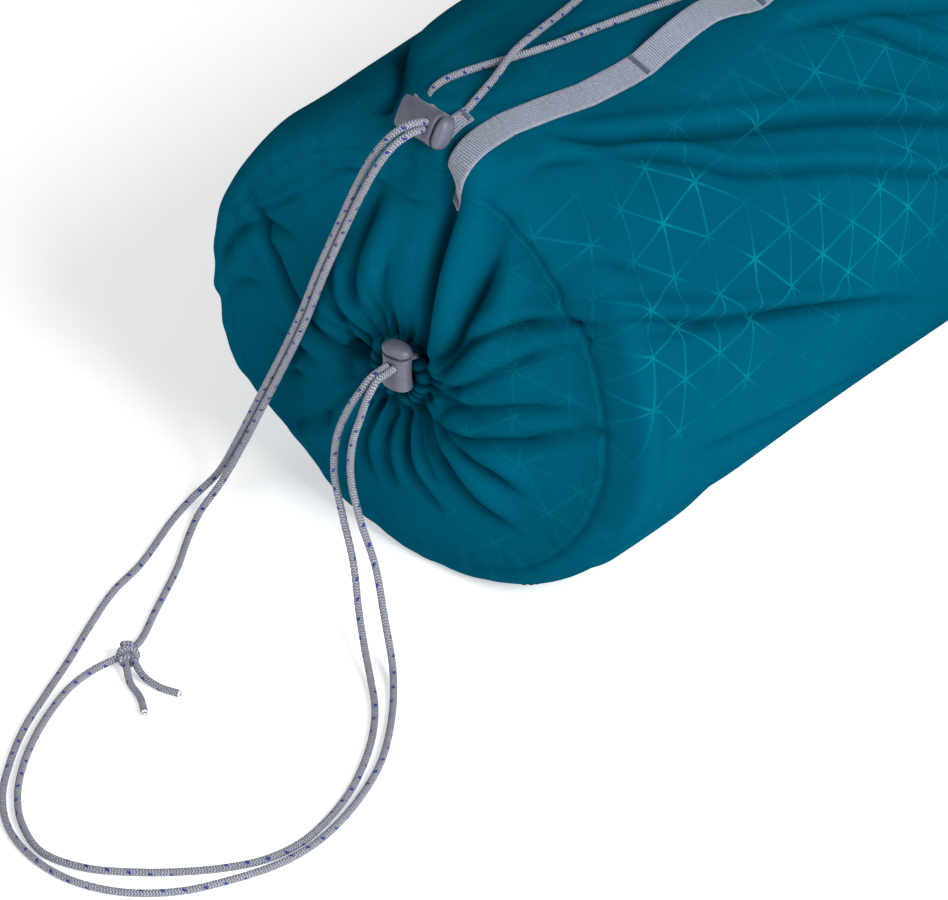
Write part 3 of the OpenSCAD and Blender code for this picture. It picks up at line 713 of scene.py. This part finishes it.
def sack_piece(name, node, low, high, print_and_sheen_strength):
    """The part of the surface between two stations, printed side out."""
    keep = (stations >= low - 1e-6) & (stations <= high + 1e-6)
    rows = int(keep.sum())
    p = SACK[keep]
    st, deg = ST[keep], DEG[keep]
    faces = grid_faces(rows, ANGLES)
    # The print's own flat directions: round and along the side, straight across an end
    if low >= PANEL_LEN or high <= 0:
        uvs = np.stack([p[..., 0], p[..., 2]], -1).reshape(-1, 2) * MM
    else:
        flat = (np.stack([np.radians(deg) * SACK_R, st], -1) * MM).reshape(-1, 2)
        uvs = flat[faces.ravel()].copy().reshape(-1, 4, 2)
        wrapped = uvs[..., 0].max(1) - uvs[..., 0].min(1) > 0.3
        low_side = uvs[..., 0] < 0
        uvs[..., 0] += np.where(wrapped[:, None] & low_side, TAU * SACK_R * MM, 0)
        uvs = uvs.reshape(-1, 2)
    ob = add_object(name, p, [faces], fabric, uvs=uvs,
                    marks={"print": print_and_sheen_strength(deg, st), "shade": np.clip(shade[keep], 0, 1)})
    stands_for(ob, node)
    return ob


def side_print_and_sheen(deg, st):
    # Partly painted sheen: the real net is shown strongly only where it faces the key light, and faintly elsewhere
    broad = ring_window(deg, 64, 19, 17) * smooth(-6, 16, st) * (1 - smooth(150, 250, st))
    return 0.17 + 0.83 * broad


side = sack_piece("side_cloth", "side_panel", 0, PANEL_LEN, side_print_and_sheen)
# The gathered end shows the net faintly, a little more on its lit right side: partly painted sheen
mouth = sack_piece("mouth_cloth", "mouth_panel", MOUTH_END, 0,
                   lambda deg, st: 0.10 + 0.20 * ring_window(deg, 105, 50, 35))
base = sack_piece("base_cloth", "base_panel", PANEL_LEN, BASE_END, lambda deg, st: np.full(deg.size, 0.22))

# ---- the gathered channel and the seams
def ruffled_channel():
    """The folded tube of cloth round the drawcord, ruffled by its gathers."""
    around, about = 300, 22
    a, b = np.meshgrid(np.arange(around) * TAU / around, np.arange(about) * TAU / about, indexing="ij")
    pleat = np.abs(np.sin(8 * a + 0.8 * np.sin(3 * a) + 0.5 * np.sin(5 * a + 1.0)))
    ruffle = pleat ** 0.6 - 0.6 + 0.25 * np.sin(7 * a + 1.0)
    tube = CHANNEL_R * (0.86 + 0.24 * ruffle * (0.6 + 0.4 * np.cos(b)))
    # Painted shade: strong in the pleats' valleys and on the tube's side towards the hole, light everywhere else
    dark = np.clip(0.9 * (1 - pleat) ** 2 + 0.8 * smooth(0.2, -0.7, np.cos(b)) + 0.25, 0, 1)
    ring = DRAW_R + 0.5 + 0.5 * np.sin(5 * a + 0.6) + tube * np.cos(b)
    y = -(BULGE - DIP) - tube * np.sin(b) * 0.95 - 0.8 * ruffle
    p = np.stack([ring * np.sin(a) - 0.8, y + RING_Y, AXIS_Z - 1.2 + ring * np.cos(a)], -1)
    uv = np.stack([p[..., 0], p[..., 2]], -1).reshape(-1, 2) * MM
    ob = add_object("channel_cloth", p, [grid_faces(around, about, wrap_rows=True)], fabric, uvs=uv,
                    marks={"print": np.zeros(p[..., 0].size), "shade": dark})
    stands_for(ob, "drawcord_channel")
    return ob


channel = ruffled_channel()


TAPE_DEPTH, TAPE_THICK = 1.5, 0.5


def inner_tape(name, node, deg, st):
    """A binding strip inside the sack, between two sets of places."""
    d, s = np.meshgrid(deg, st, indexing="ij")
    outer, inner = sack_at(d, s, -TAPE_DEPTH), sack_at(d, s, -TAPE_DEPTH - TAPE_THICK)
    rows, cols = d.shape
    closed = abs(deg[-1] - deg[0]) > 350
    n = rows * cols
    p = np.vstack([outer.reshape(-1, 3), inner.reshape(-1, 3)])
    a = grid_faces(rows, cols, wrap_cols=False, wrap_rows=closed)
    b = a[:, ::-1] + n
    edges = []
    for c in (0, cols - 1):
        k = np.arange(rows if closed else rows - 1)
        i, j = k * cols + c, ((k + 1) % rows) * cols + c
        quad = np.stack([i, j, j + n, i + n], 1)
        edges.append(quad if c else quad[:, ::-1])
    if not closed:
        for r in (0, rows - 1):
            k = np.arange(cols - 1)
            i = r * cols + k
            quad = np.stack([i, i + 1, i + 1 + n, i + n], 1)
            edges.append(quad[:, ::-1] if r else quad)
    ob = add_object(name, p, [a, b] + edges, binding, uvs=p[:, [0, 2]] * MM, marks={"print": np.zeros(len(p))})
    stands_for(ob, node)


ring_degrees = np.arange(0, 360, 1.5)
inner_tape("mouth_binding", "mouth_seam_tape", ring_degrees, np.linspace(1.5, 8.5, 6))
inner_tape("base_binding", "base_seam_tape", ring_degrees, np.linspace(351.5, 358.5, 6))
inner_tape("side_binding", "side_seam_tape", np.linspace(150, 154, 5), np.linspace(20, 340, 170))


STITCH_PITCH, STITCH_LEN, STITCH_SIDES = 3.2, 2.5, 6


def stitch_row(batch, line, radius):
    """Short threads laid along a line of points."""
    run = run_of(line)
    taper = np.array([0.45, 0.9, 1.0, 0.9, 0.45])[:, None] * radius
    for start in np.arange(STITCH_PITCH / 2, run[-1] - STITCH_LEN, STITCH_PITCH):
        at = start + np.array([0.0, 0.12, 0.5, 0.88, 1.0]) * STITCH_LEN
        batch.add(*tube_shell(sampled(line, run, at), np.repeat(taper, STITCH_SIDES, 1), STITCH_SIDES))


seams = Batch()
fine = np.arange(0, 360.5, 0.5)
stitch_row(seams, sack_at(fine, -2.8, 0.02), 0.14)
stitch_row(seams, sack_at(fine, PANEL_LEN - 3.0, 0.12), 0.24)
for deg in (150.8, 153.2):
    stitch_row(seams, sack_at(deg, np.arange(10, 352, 1.0), 0.12), 0.24)
seams.make("seam_stitches", seam_thread)


# ---- webbing
RIB = 0.17


def strap(name, node, centre, normal, width, thickness, pitch=1.05, along_ribs=False):
    """Woven tape along a line, in place of a CAD node. Its ribs run across it, or along it with along_ribs."""
    run = run_of(centre)
    rows = max(int(run[-1] / (0.21 if not along_ribs else 0.6)), 8)
    at = np.linspace(0, run[-1], rows)
    c, up = sampled(centre, run, at), unit(sampled(normal, run, at))
    ahead = unit(np.gradient(c, axis=0))
    across = unit(np.cross(ahead, up))
    up = np.cross(across, ahead)
    half = width / 2
    wide = 12 if not along_ribs else 44
    top = np.linspace(-1, 1, wide)
    xs = np.concatenate([top * (half - 0.25), [half], top[::-1] * (half - 0.25), [-half]])
    level = np.concatenate([np.full(wide, 0.5), [0.0], np.full(wide, -0.5), [0.0]]) * thickness
    ribbed = np.abs(level) > 0.1
    s, x = np.meshgrid(at, xs, indexing="ij")
    phase = x / pitch if along_ribs else s / pitch + 0.03 * np.sin(s * 0.9 + x * 0.6) + 0.012 * x
    wave = np.abs(np.cos(math.pi * phase))
    height = RIB * (wave ** 0.7 - 0.65)
    frayed = 0.07 * np.sin(TAU * s / pitch) * (np.abs(x) > half - 0.3)
    lv = level[None] + np.where(ribbed[None], np.sign(level)[None] * height, 0.0)
    p = c[:, None] + (x + frayed * np.sign(x))[..., None] * across[:, None] + lv[..., None] * up[:, None]
    # Marks painted shade: deepest in the grooves between the ribs, a little on the edges
    groove = 1 - smooth(0.16, 0.74, wave)
    cols = len(xs)
    faces = [grid_faces(rows, cols, flip=True)]
    ends = [np.arange(cols)[None, :], (rows - 1) * cols + np.arange(cols)[None, ::-1]]
    uv = np.stack([x, s], -1).reshape(-1, 2) * MM
    ob = add_object(name, p, faces + ends, tape, uvs=uv, marks={"groove": np.where(ribbed, groove, 0.3).ravel()})
    stands_for(ob, node)
    return ob


WEB_W, WEB_T, LOOP_H, TACK_FIRST, TACK_PITCH = 12.5, 1.2, 9.0, 95.0, 70.0
TACKS = [TACK_FIRST + TACK_PITCH * k for k in range(4)]
WEB_FRONT, WEB_BACK, LEFT_START, LEFT_DEGREE = -13.0, PANEL_LEN + 1, 112.0, -16.0
WEB_TURN = [(-14, 11.2), (-6, 11.4), (4, 11.7), (24, 12.2), (46, 14.4), (65, 16.4), (86, 17.3), (110, 17.6),
            (134, 17.6), (155, 18.6), (200, 18.4), (260, 17.0), (320, 16.0), (372, 16.0)]


def web_degree(side, st):
    """Where round the sack a chain lies: the left one runs straight, the right one turns with WEB_TURN."""
    if side < 0:
        return np.full(np.shape(st), LEFT_DEGREE)
    return np.interp(st, *np.array(WEB_TURN).T)


def cloth_height(deg, st, half):
    """How far the cloth under a strap stands off its unwrinkled place, at its highest across the strap."""
    best = np.full(np.shape(st), -1e9)
    for off in np.linspace(-half, half, 5):
        d = deg + np.degrees(off / SACK_R)
        stands = np.einsum("ij,ij->i", sack_at(d, st) - rest_point(d, st), surface_normal(d, st))
        best = np.maximum(best, stands)
    kernel = np.exp(-np.linspace(-2, 2, 13) ** 2)
    pad = np.pad(best, 6, mode="edge")
    return np.maximum(np.convolve(pad, kernel / kernel.sum(), "valid"), best - 0.5)


def chain_path(side, st):
    """The middle of a daisy chain's tape, and its outward direction."""
    deg = web_degree(side, st)
    arch = np.zeros_like(st)
    for first, last in zip(TACKS, TACKS[1:]):
        f = (st - first - 2.5) / (last - first - 5.0)
        arch = np.where((f > 0) & (f < 1) & ((side > 0) | (first > TACK_FIRST)), LOOP_H * np.sin(math.pi * f), arch)
    nrm = surface_normal(deg, st)
    stand = cloth_height(deg, st, WEB_W / 2) * (1 - 0.8 * smooth(2, 7, arch)) + WEB_T / 2 + 0.15
    c = rest_point(deg, st) + (stand + arch)[:, None] * nrm
    if side < 0:
        return c, nrm
    # The front end turns on to its left edge, down into the first deep gather
    turn = math.radians(37) * (1 - smooth(WEB_FRONT + 1, 20, st))
    across = unit(np.cross(np.gradient(c, axis=0), nrm))
    cos_turn, sin_turn = np.cos(turn)[:, None], np.sin(turn)[:, None]
    c = c + WEB_W / 2 * ((1 - cos_turn) * across - sin_turn * nrm)
    return c, unit(cos_turn * nrm - sin_turn * across)


def zigzag(centre, ahead, up, width, length, teeth, radius):
    """A bartack: dense zigzag across a tape."""
    across = np.cross(ahead, up)
    k = np.arange(teeth * 2 + 1)
    f = k / (teeth * 2) - 0.5
    p = centre + f[:, None] * width * across + (np.where(k % 2, 0.5, -0.5) * length)[:, None] * ahead
    return tube_shell(spline(p, 0.5), radius, 5)


tacks = Batch()


def tack_on(c, nrm, i, width, length=2.4):
    """A bartack of two passes of thread across a strap, at its point i."""
    ahead = unit(c[i + 1] - c[i - 1])
    up = unit(nrm[i] - nrm[i].dot(ahead) * ahead)
    for shift, lift_up in ((0.0, 0.0), (0.3, 0.12)):
        middle = c[i] + up * (WEB_T / 2 + 0.22 + lift_up) + shift * ahead
        tacks.add(*zigzag(middle, ahead, up, width - 1.6, length, 13, 0.21))


for side_sign, name, first in ((1, "right", WEB_FRONT), (-1, "left", LEFT_START)):
    c, nrm = chain_path(side_sign, np.arange(first, WEB_BACK, 1.0))
    strap(f"{name}_chain_tape", f"webbing_{name}", c, nrm, WEB_W, WEB_T)
    st = np.arange(first, WEB_BACK, 0.5)
    c, nrm = chain_path(side_sign, st)
    for place in TACKS[(0 if side_sign > 0 else 1):] + [first + 1.6, WEB_BACK - 3.5]:
        tack_on(c, nrm, int(np.clip(np.searchsorted(st, place), 1, len(st) - 2)), WEB_W)

# The strap on the base
HANDLE_W, HANDLE_H, HANDLE_SPAN, HANDLE_FOOT = 20.0, 16.0, 96.0, 16.0
zs = np.linspace(-HANDLE_SPAN / 2 - HANDLE_FOOT, HANDLE_SPAN / 2 + HANDLE_FOOT, 130)
base_st = PANEL_LEN + SEAM_R - np.maximum(np.abs(zs), 1.5)
foot = sack_at(np.where(zs > 0, 0.0, 180.0), base_st)
f = np.clip(zs / HANDLE_SPAN + 0.5, 0, 1)
free = smooth(0, 0.06, f) * smooth(0, 0.06, 1 - f)
level = foot[:, 1] * (1 - free) + (RING_Y + PANEL_LEN) * free
level = np.convolve(np.pad(level, 3, mode="edge"), np.ones(7) / 7, "valid")
rise = (HANDLE_H - WEB_T - 0.6) * np.sin(math.pi * f) ** 0.9
handle_line = np.stack([0.4 * np.sin(zs / 14.0), level + WEB_T / 2 + 0.35 + rise, AXIS_Z + zs], -1)
tangent = unit(np.gradient(handle_line, axis=0))
handle_normal = unit(np.cross(tangent, (1.0, 0.0, 0.0)))
handle_normal *= np.sign(handle_normal[:, 1:2] + 1e-9)
strap("base_strap", "base_handle", handle_line, handle_normal, HANDLE_W, WEB_T)
stands_for(tacks.make("chain_tacks", tack_thread), "webbing_bartacks")
tacks = Batch()
for end in (-1, 1):
    for row in (0.25, 0.75):
        i = int(np.argmin(np.abs(zs - end * (HANDLE_SPAN / 2 + HANDLE_FOOT * row))))
        tack_on(handle_line, handle_normal, i, HANDLE_W - 2)
stands_for(tacks.make("handle_tacks", tack_thread), "handle_stitches")


# ---- cord locks
def turned(axis, degrees_by):
    """The matrix of a turn about one axis."""
    a = math.radians(degrees_by)
    c, s = math.cos(a), math.sin(a)
    return np.array({"x": [[1, 0, 0], [0, c, -s], [0, s, c]], "y": [[c, 0, s], [0, 1, 0], [-s, 0, c]],
                     "z": [[c, -s, 0], [s, c, 0], [0, 0, 1]]}[axis])


UPPER_AT = np.array([5.9, 0.6 + RING_Y, 216.6])
TAB_TURN = turned("z", -5) @ turned("x", -30)
UPPER_TURN = TAB_TURN @ turned("y", 90)
LOWER_AT = np.array([5.55, -20.0 + RING_Y, 113.3])
LOWER_TURN = np.eye(3)


def oval_loft(sections, count=72, power=2.3):
    """A closed shell through oval sections of (height, width, thickness)."""
    a = np.arange(count) * TAU / count
    ca, sa = np.cos(a), np.sin(a)
    shape = np.stack([np.sign(ca) * np.abs(ca) ** (2 / power), np.sign(sa) * np.abs(sa) ** (2 / power)], 1) / 2
    rows = [np.column_stack([shape[:, 0] * w, shape[:, 1] * t, np.full(count, h)]) for h, w, t in sections]
    points = np.vstack(rows + [[0, 0, sections[0][0]], [0, 0, sections[-1][0]]])
    return points, [grid_faces(len(sections), count)] + end_fans(len(sections) * count, count)


def prism(width, thickness, low, high, along="z", power=3.2, shift=(0, 0, 0)):
    points, faces = oval_loft([(low, width, thickness), (high, width, thickness)], 40, power)
    if along == "y":
        points = points @ turned("x", 90).T
    return points + shift, faces


def put(points, turn, at):
    return np.asarray(points) @ turn.T + at


def carve(target, turn, at, tools, operation="DIFFERENCE"):
    """Applies booleans with the tool shells, turned and placed, then drops the tools."""
    for points, faces in tools:
        tool = add_object("tool", put(points, turn, at), faces, plastic, body=None)
        mod = target.modifiers.new("cut", "BOOLEAN")
        mod.operation, mod.solver, mod.object = operation, "EXACT", tool
        bpy.context.view_layer.update()
        done = bpy.data.meshes.new_from_object(target.evaluated_get(bpy.context.evaluated_depsgraph_get()))
        target.modifiers.clear()
        old, target.data = target.data, done
        bpy.data.meshes.remove(old)
        bpy.data.objects.remove(tool)
    target.data.shade_smooth()
    target.data.set_sharp_from_angle(angle=math.radians(38))


def rounded(sections, edge):
    """Adds a rounded edge at both ends of a run of sections."""
    (h0, w0, t0), (h1, w1, t1) = sections[0], sections[-1]
    turns = [(edge * (1 - math.cos(q)), 2 * edge * (1 - math.sin(q))) for q in (0.0, 0.4, 0.8, 1.2)]
    low = [(h0 + up, w0 - less, t0 - less) for up, less in turns]
    high = [(h1 - up, w1 - less, t1 - less) for up, less in reversed(turns)]
    return low + [(h0 + edge, w0, t0)] + sections[1:-1] + [(h1 - edge, w1, t1)] + high


HOLE_W, HOLE_H, STEM_W, STEM_T = 7.0, 3.8, 9.5, 5.5
STEM_LOW, POCKET, PRESS = 4.6, 9.0, 1.2
SPRING_R, WIRE_D, SPRING_TURNS = 2.0, 0.5, 4


def lock(kind, turn, at, housing_body, button_body):
    """Housing and button of one cord lock, drawn upright about the middle of its cord hole."""
    if kind == "lower":
        outer = rounded([(-10.5, 13.9, 9.3), (-8.0, 13.5, 9.1), (-3.0, 12.7, 8.7), (1.5, 12.9, 8.8), (3.0, 13.3, 9.1),
                         (4.2, 13.3, 9.1)], 0.6)
    else:
        outer = rounded([(-17.0, 13.4, 4.6), (-14.5, 13.6, 5.4), (-11.8, 13.7, 6.6), (-10.0, 13.7, 7.8),
                         (-8.0, 13.7, 8.8), (-4.0, 13.5, 9.2), (2.2, 13.5, 9.2), (2.6, 13.9, 9.35),
                         (4.2, 13.9, 9.35)], 0.5)
    points, faces = oval_loft(outer, power=2.2 if kind == "lower" else 2.9)
    housing = add_object(f"{kind}_lock_body", put(points, turn, at), faces, plastic, body=None)
    cuts = [prism(HOLE_W, HOLE_H, -9, 9, "y", 2.6), prism(STEM_W + 0.1, STEM_T + 0.1, -9, 6)]
    carve(housing, turn, at, cuts)
    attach(housing, housing_body)
    stands_for(housing, f"{kind}_lock_housing")
    cap = [(5.46, 12.4, 8.0), (5.56, 13.2, 8.7), (5.85, 13.8, 9.2), (6.3, 14.0, 9.4), (7.0, 13.8, 9.3),
           (7.7, 13.1, 8.8), (8.4, 11.8, 8.0), (9.0, 10.0, 6.8), (9.45, 7.4, 5.2), (9.72, 4.4, 3.2), (9.8, 1.6, 1.2)]
    points, faces = oval_loft(cap, power=2.15 if kind == "lower" else 2.5)
    button = add_object(f"{kind}_lock_cap", put(points, turn, at), faces, plastic, body=None)
    carve(button, turn, at, [prism(STEM_W, STEM_T, -STEM_LOW, 6.5)], "UNION")
    carve(button, turn, at, [prism(HOLE_W, HOLE_H + 1.3, -9, 9, "y", 2.6, (0, 0, 0.65))])
    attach(button, button_body)
    stands_for(button, f"{kind}_lock_button")
    # The spring under the stem shortens as the button goes in
    turns = np.arange(SPRING_TURNS * 24 + 1) / 24
    rise = POCKET - STEM_LOW - 0.1 - WIRE_D
    coil = np.column_stack([SPRING_R * np.cos(TAU * turns), SPRING_R * np.sin(TAU * turns),
                            0.05 + WIRE_D / 2 - POCKET + rise * turns / SPRING_TURNS])
    points, faces = tube_shell(put(coil, turn, at), WIRE_D / 2, 10)
    spring = add_object(f"{kind}_lock_coil", points, faces, steel, housing_body)
    stands_for(spring, f"{kind}_lock_spring")
    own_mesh(spring)


lock("upper", UPPER_TURN, UPPER_AT, "sack", "upper_button")
lock("lower", LOWER_TURN, LOWER_AT, "lower_lock", "lower_button")

# The tab of webbing behind the upper lock: ribs run along it
tab_line = np.array([(-20, 8.2, 0), (-17.5, 6.4, 0), (-14, 4.5, 0), (-6, 4.9, 0), (0, 4.9, 0), (5, 5.3, 0)], float)
tab_path = put(spline(tab_line, 0.6) + (0, WEB_T / 2, 0), TAB_TURN, UPPER_AT)
tab_out = np.repeat((TAB_TURN @ np.array([0, -1.0, 0]))[None], len(tab_path), 0)
tab = strap("lock_tab_tape", "lock_tab", tab_path, tab_out, 12.6, WEB_T - 0.2, pitch=1.3, along_ribs=True)
carve(tab, TAB_TURN, UPPER_AT, [prism(5.4, 8.0, -3.0, 3.0, "y", shift=(0, 5.4, 0))])
# Its right end, folded narrow, lies back on the cloth
end_path = spline(behind_seam([(8.6, 3.6, 210.9), (9.0, 7.5, 213.2), (9.4, 12.5, 214.7), (9.9, 18.2, 215.3)]), 0.6)
end_out = np.repeat(unit((0.34, -0.28, 0.90))[None], len(end_path), 0)
strap("lock_tab_end", "lock_tab", end_path, end_out, 7.0, WEB_T + 0.3, pitch=1.2, along_ribs=True)
tacks = Batch()
tack_on(tab_path, tab_out, 3, 12.0, 1.8)
tack_on(end_path, end_out, len(end_path) - 4, 6.6, 1.8)
stands_for(tacks.make("tab_tacks", tack_thread), "lock_tab_stitches")

# ---- held cords, knot and tails
LACING_IN = [(5.8, -0.2, 215.2), (6.1, 4.2, 212.7), (4.7, 7.3, 212.5), (2.2, 9.4, 213.4), (-2.4, 12, 214.5),
             (-8, 16, 215.4), (-12, 22, 215.5)]
LACING_RIGHT = [
    (-12, 30), (-9, 42), (-2, 60), (3, 76), (8, 98), (13, 120), (18, 142), (20.5, 160), (23, 176), (30, 188),
    (37, 200), (41.5, 214), (42.5, 234), (41, 250), (36, 261), (28, 270), (16, 276), (0, 278)]
LACING_LEFT = [(-x, st) for x, st in LACING_RIGHT[16:6:-1]] + [
    (-17, 142), (-13, 120), (-9, 98, 0.6), (-5, 78, 2.4), (-1.5, 60, 3.5), (4, 40, 2), (6.6, 27, 0.6)]
LACING_OUT = [(7.6, 19.3, 215.5), (7.8, 14, 215.3), (7.5, 10.5, 215.5), (6.4, 6.3, 215.1), (6, 1.4, 218)]
LACING_REST = 1.8


def on_sack(route):
    """Lays a route of (x, station), or (x, station, lift), on the wrinkled cloth."""
    x, st, up = np.array([(*place, 0)[:3] for place in route], float).T
    deg = np.degrees(np.arcsin(x / (SACK_R + LACING_REST)))
    stand = np.maximum(cloth_height(deg, st, 2.0) + 1.5, LACING_REST - 1.2) + up
    return rest_point(deg, st) + stand[:, None] * surface_normal(deg, st)


lacing_points = np.vstack([
    behind_seam(LACING_IN), on_sack(LACING_RIGHT), on_sack(LACING_LEFT), behind_seam(LACING_OUT)])
braided("lacing", [lacing_points], "lacing_cord")
turn_at = np.radians(np.linspace(50, 358, 17))
draw_points = behind_seam(np.vstack([
    [(7.2, -20, 113.3), (7.2, -12, 113.3)],
    np.column_stack([DRAW_R * np.sin(turn_at), np.full(17, DIP - BULGE), AXIS_Z + DRAW_R * np.cos(turn_at)]),
    [(3.9, -12, 113.3), (3.9, -20, 113.3)]]))
braided("drawcord", [draw_points], "draw_cord")

KNOT_AT = np.array([-43.5, -129.0 + RING_Y, 5.3])
knot_axis = unit((0.75, -0.55, 0.1))
knot_side = unit(np.cross(knot_axis, (0, 0, 1.0)))
knot_up = np.cross(knot_side, knot_axis)


def knot_strand(start, end, phase, turns, first, last):
    """Winds round the knot's middle, then passes back through it."""
    k = np.linspace(0, 1, 12)
    ang = math.radians(phase) + k * turns * TAU
    wind = (KNOT_AT + ((first + (last - first) * k)[:, None]) * knot_axis
            + 3.3 * (np.cos(ang)[:, None] * knot_side + np.sin(ang)[:, None] * knot_up))
    inside = [KNOT_AT + (last * 0.9) * knot_axis + 1.0 * knot_side, KNOT_AT + 0.5 * knot_up,
              KNOT_AT + (first * 0.2) * knot_axis - 0.4 * knot_side]
    return np.vstack([start, wind, inside, end])


tail_one, tail_two = behind_seam(TAIL_ONE), behind_seam(TAIL_TWO)
knot, _ = braided("knot", [
    knot_strand(upper_path[-3], tail_one[0], 70, 1.35, -2.8, 1.4),
    knot_strand(lower_path[2], tail_two[0], 250, 1.30, -1.2, 3.0)], "cord_knot")
tails, tail_paths = braided("tails", [tail_one, tail_two], "cord_tails")
ends = Batch()
for path in tail_paths:
    way = unit(path[-1] - path[-4])
    tip = np.array([path[-1] + way * 0.2, path[-1] + way * 0.75, path[-1] + way * 1.0])
    ends.add(*tube_shell(tip, np.array([[1.40], [1.34], [1.0]]) * np.ones((1, 14)), 14))
cut_ends = ends.make("tail_ends", cut_end)

# ---- floor and light
WORLD_LIGHT, KEY_LIGHT, FILL_LIGHT, FLOOR_GLOW = 0.335, 100, 19, 0.40


def stage_material(name, colour):
    """Plain paper that gives a little light of its own."""
    n = Nodes(name)
    return n.finish(n.mix(n.noise(6.0), colour, scaled(colour, 0.995)), 0.9, Specular_IOR_Level=0.0,
                    Emission_Color=(1.0, 1.0, 1.0, 1.0), Emission_Strength=FLOOR_GLOW)


FLOOR_HALF, FLOOR_Z = 6000, -0.15
floor = add_object(
    "floor", [(x * FLOOR_HALF, y * FLOOR_HALF, FLOOR_Z) for x, y in ((-1, -1), (1, -1), (1, 1), (-1, 1))],
    [[(0, 1, 2, 3)]], stage_material("paper", (0.93, 0.93, 0.93)), body=None)


def area_light(name, place, aim, size, power):
    data = bpy.data.lights.new(name, "AREA")
    data.shape = "DISK"
    data.size = size
    data.energy = power
    ob = bpy.data.objects.new(name, data)
    bpy.context.scene.collection.objects.link(ob)
    ob.location = place
    way = unit(np.asarray(aim, float) - np.asarray(place, float))
    ob.rotation_euler = (math.acos(-way[2]), 0.0, math.atan2(-way[0], way[1]))


world = bpy.data.worlds.new("studio")
bpy.context.scene.world = world
world.use_nodes = True
world.node_tree.nodes["Background"].inputs["Color"].default_value = (1.0, 1.0, 1.0, 1.0)
world.node_tree.nodes["Background"].inputs["Strength"].default_value = WORLD_LIGHT
area_light("key", (2.4, -0.5, 1.75), (0, 0, 0.1), 1.6, KEY_LIGHT)
area_light("fill", (-0.4, -2.4, 1.4), (0, 0, 0.1), 1.8, FILL_LIGHT)
bpy.context.scene.view_settings.view_transform = "Standard"
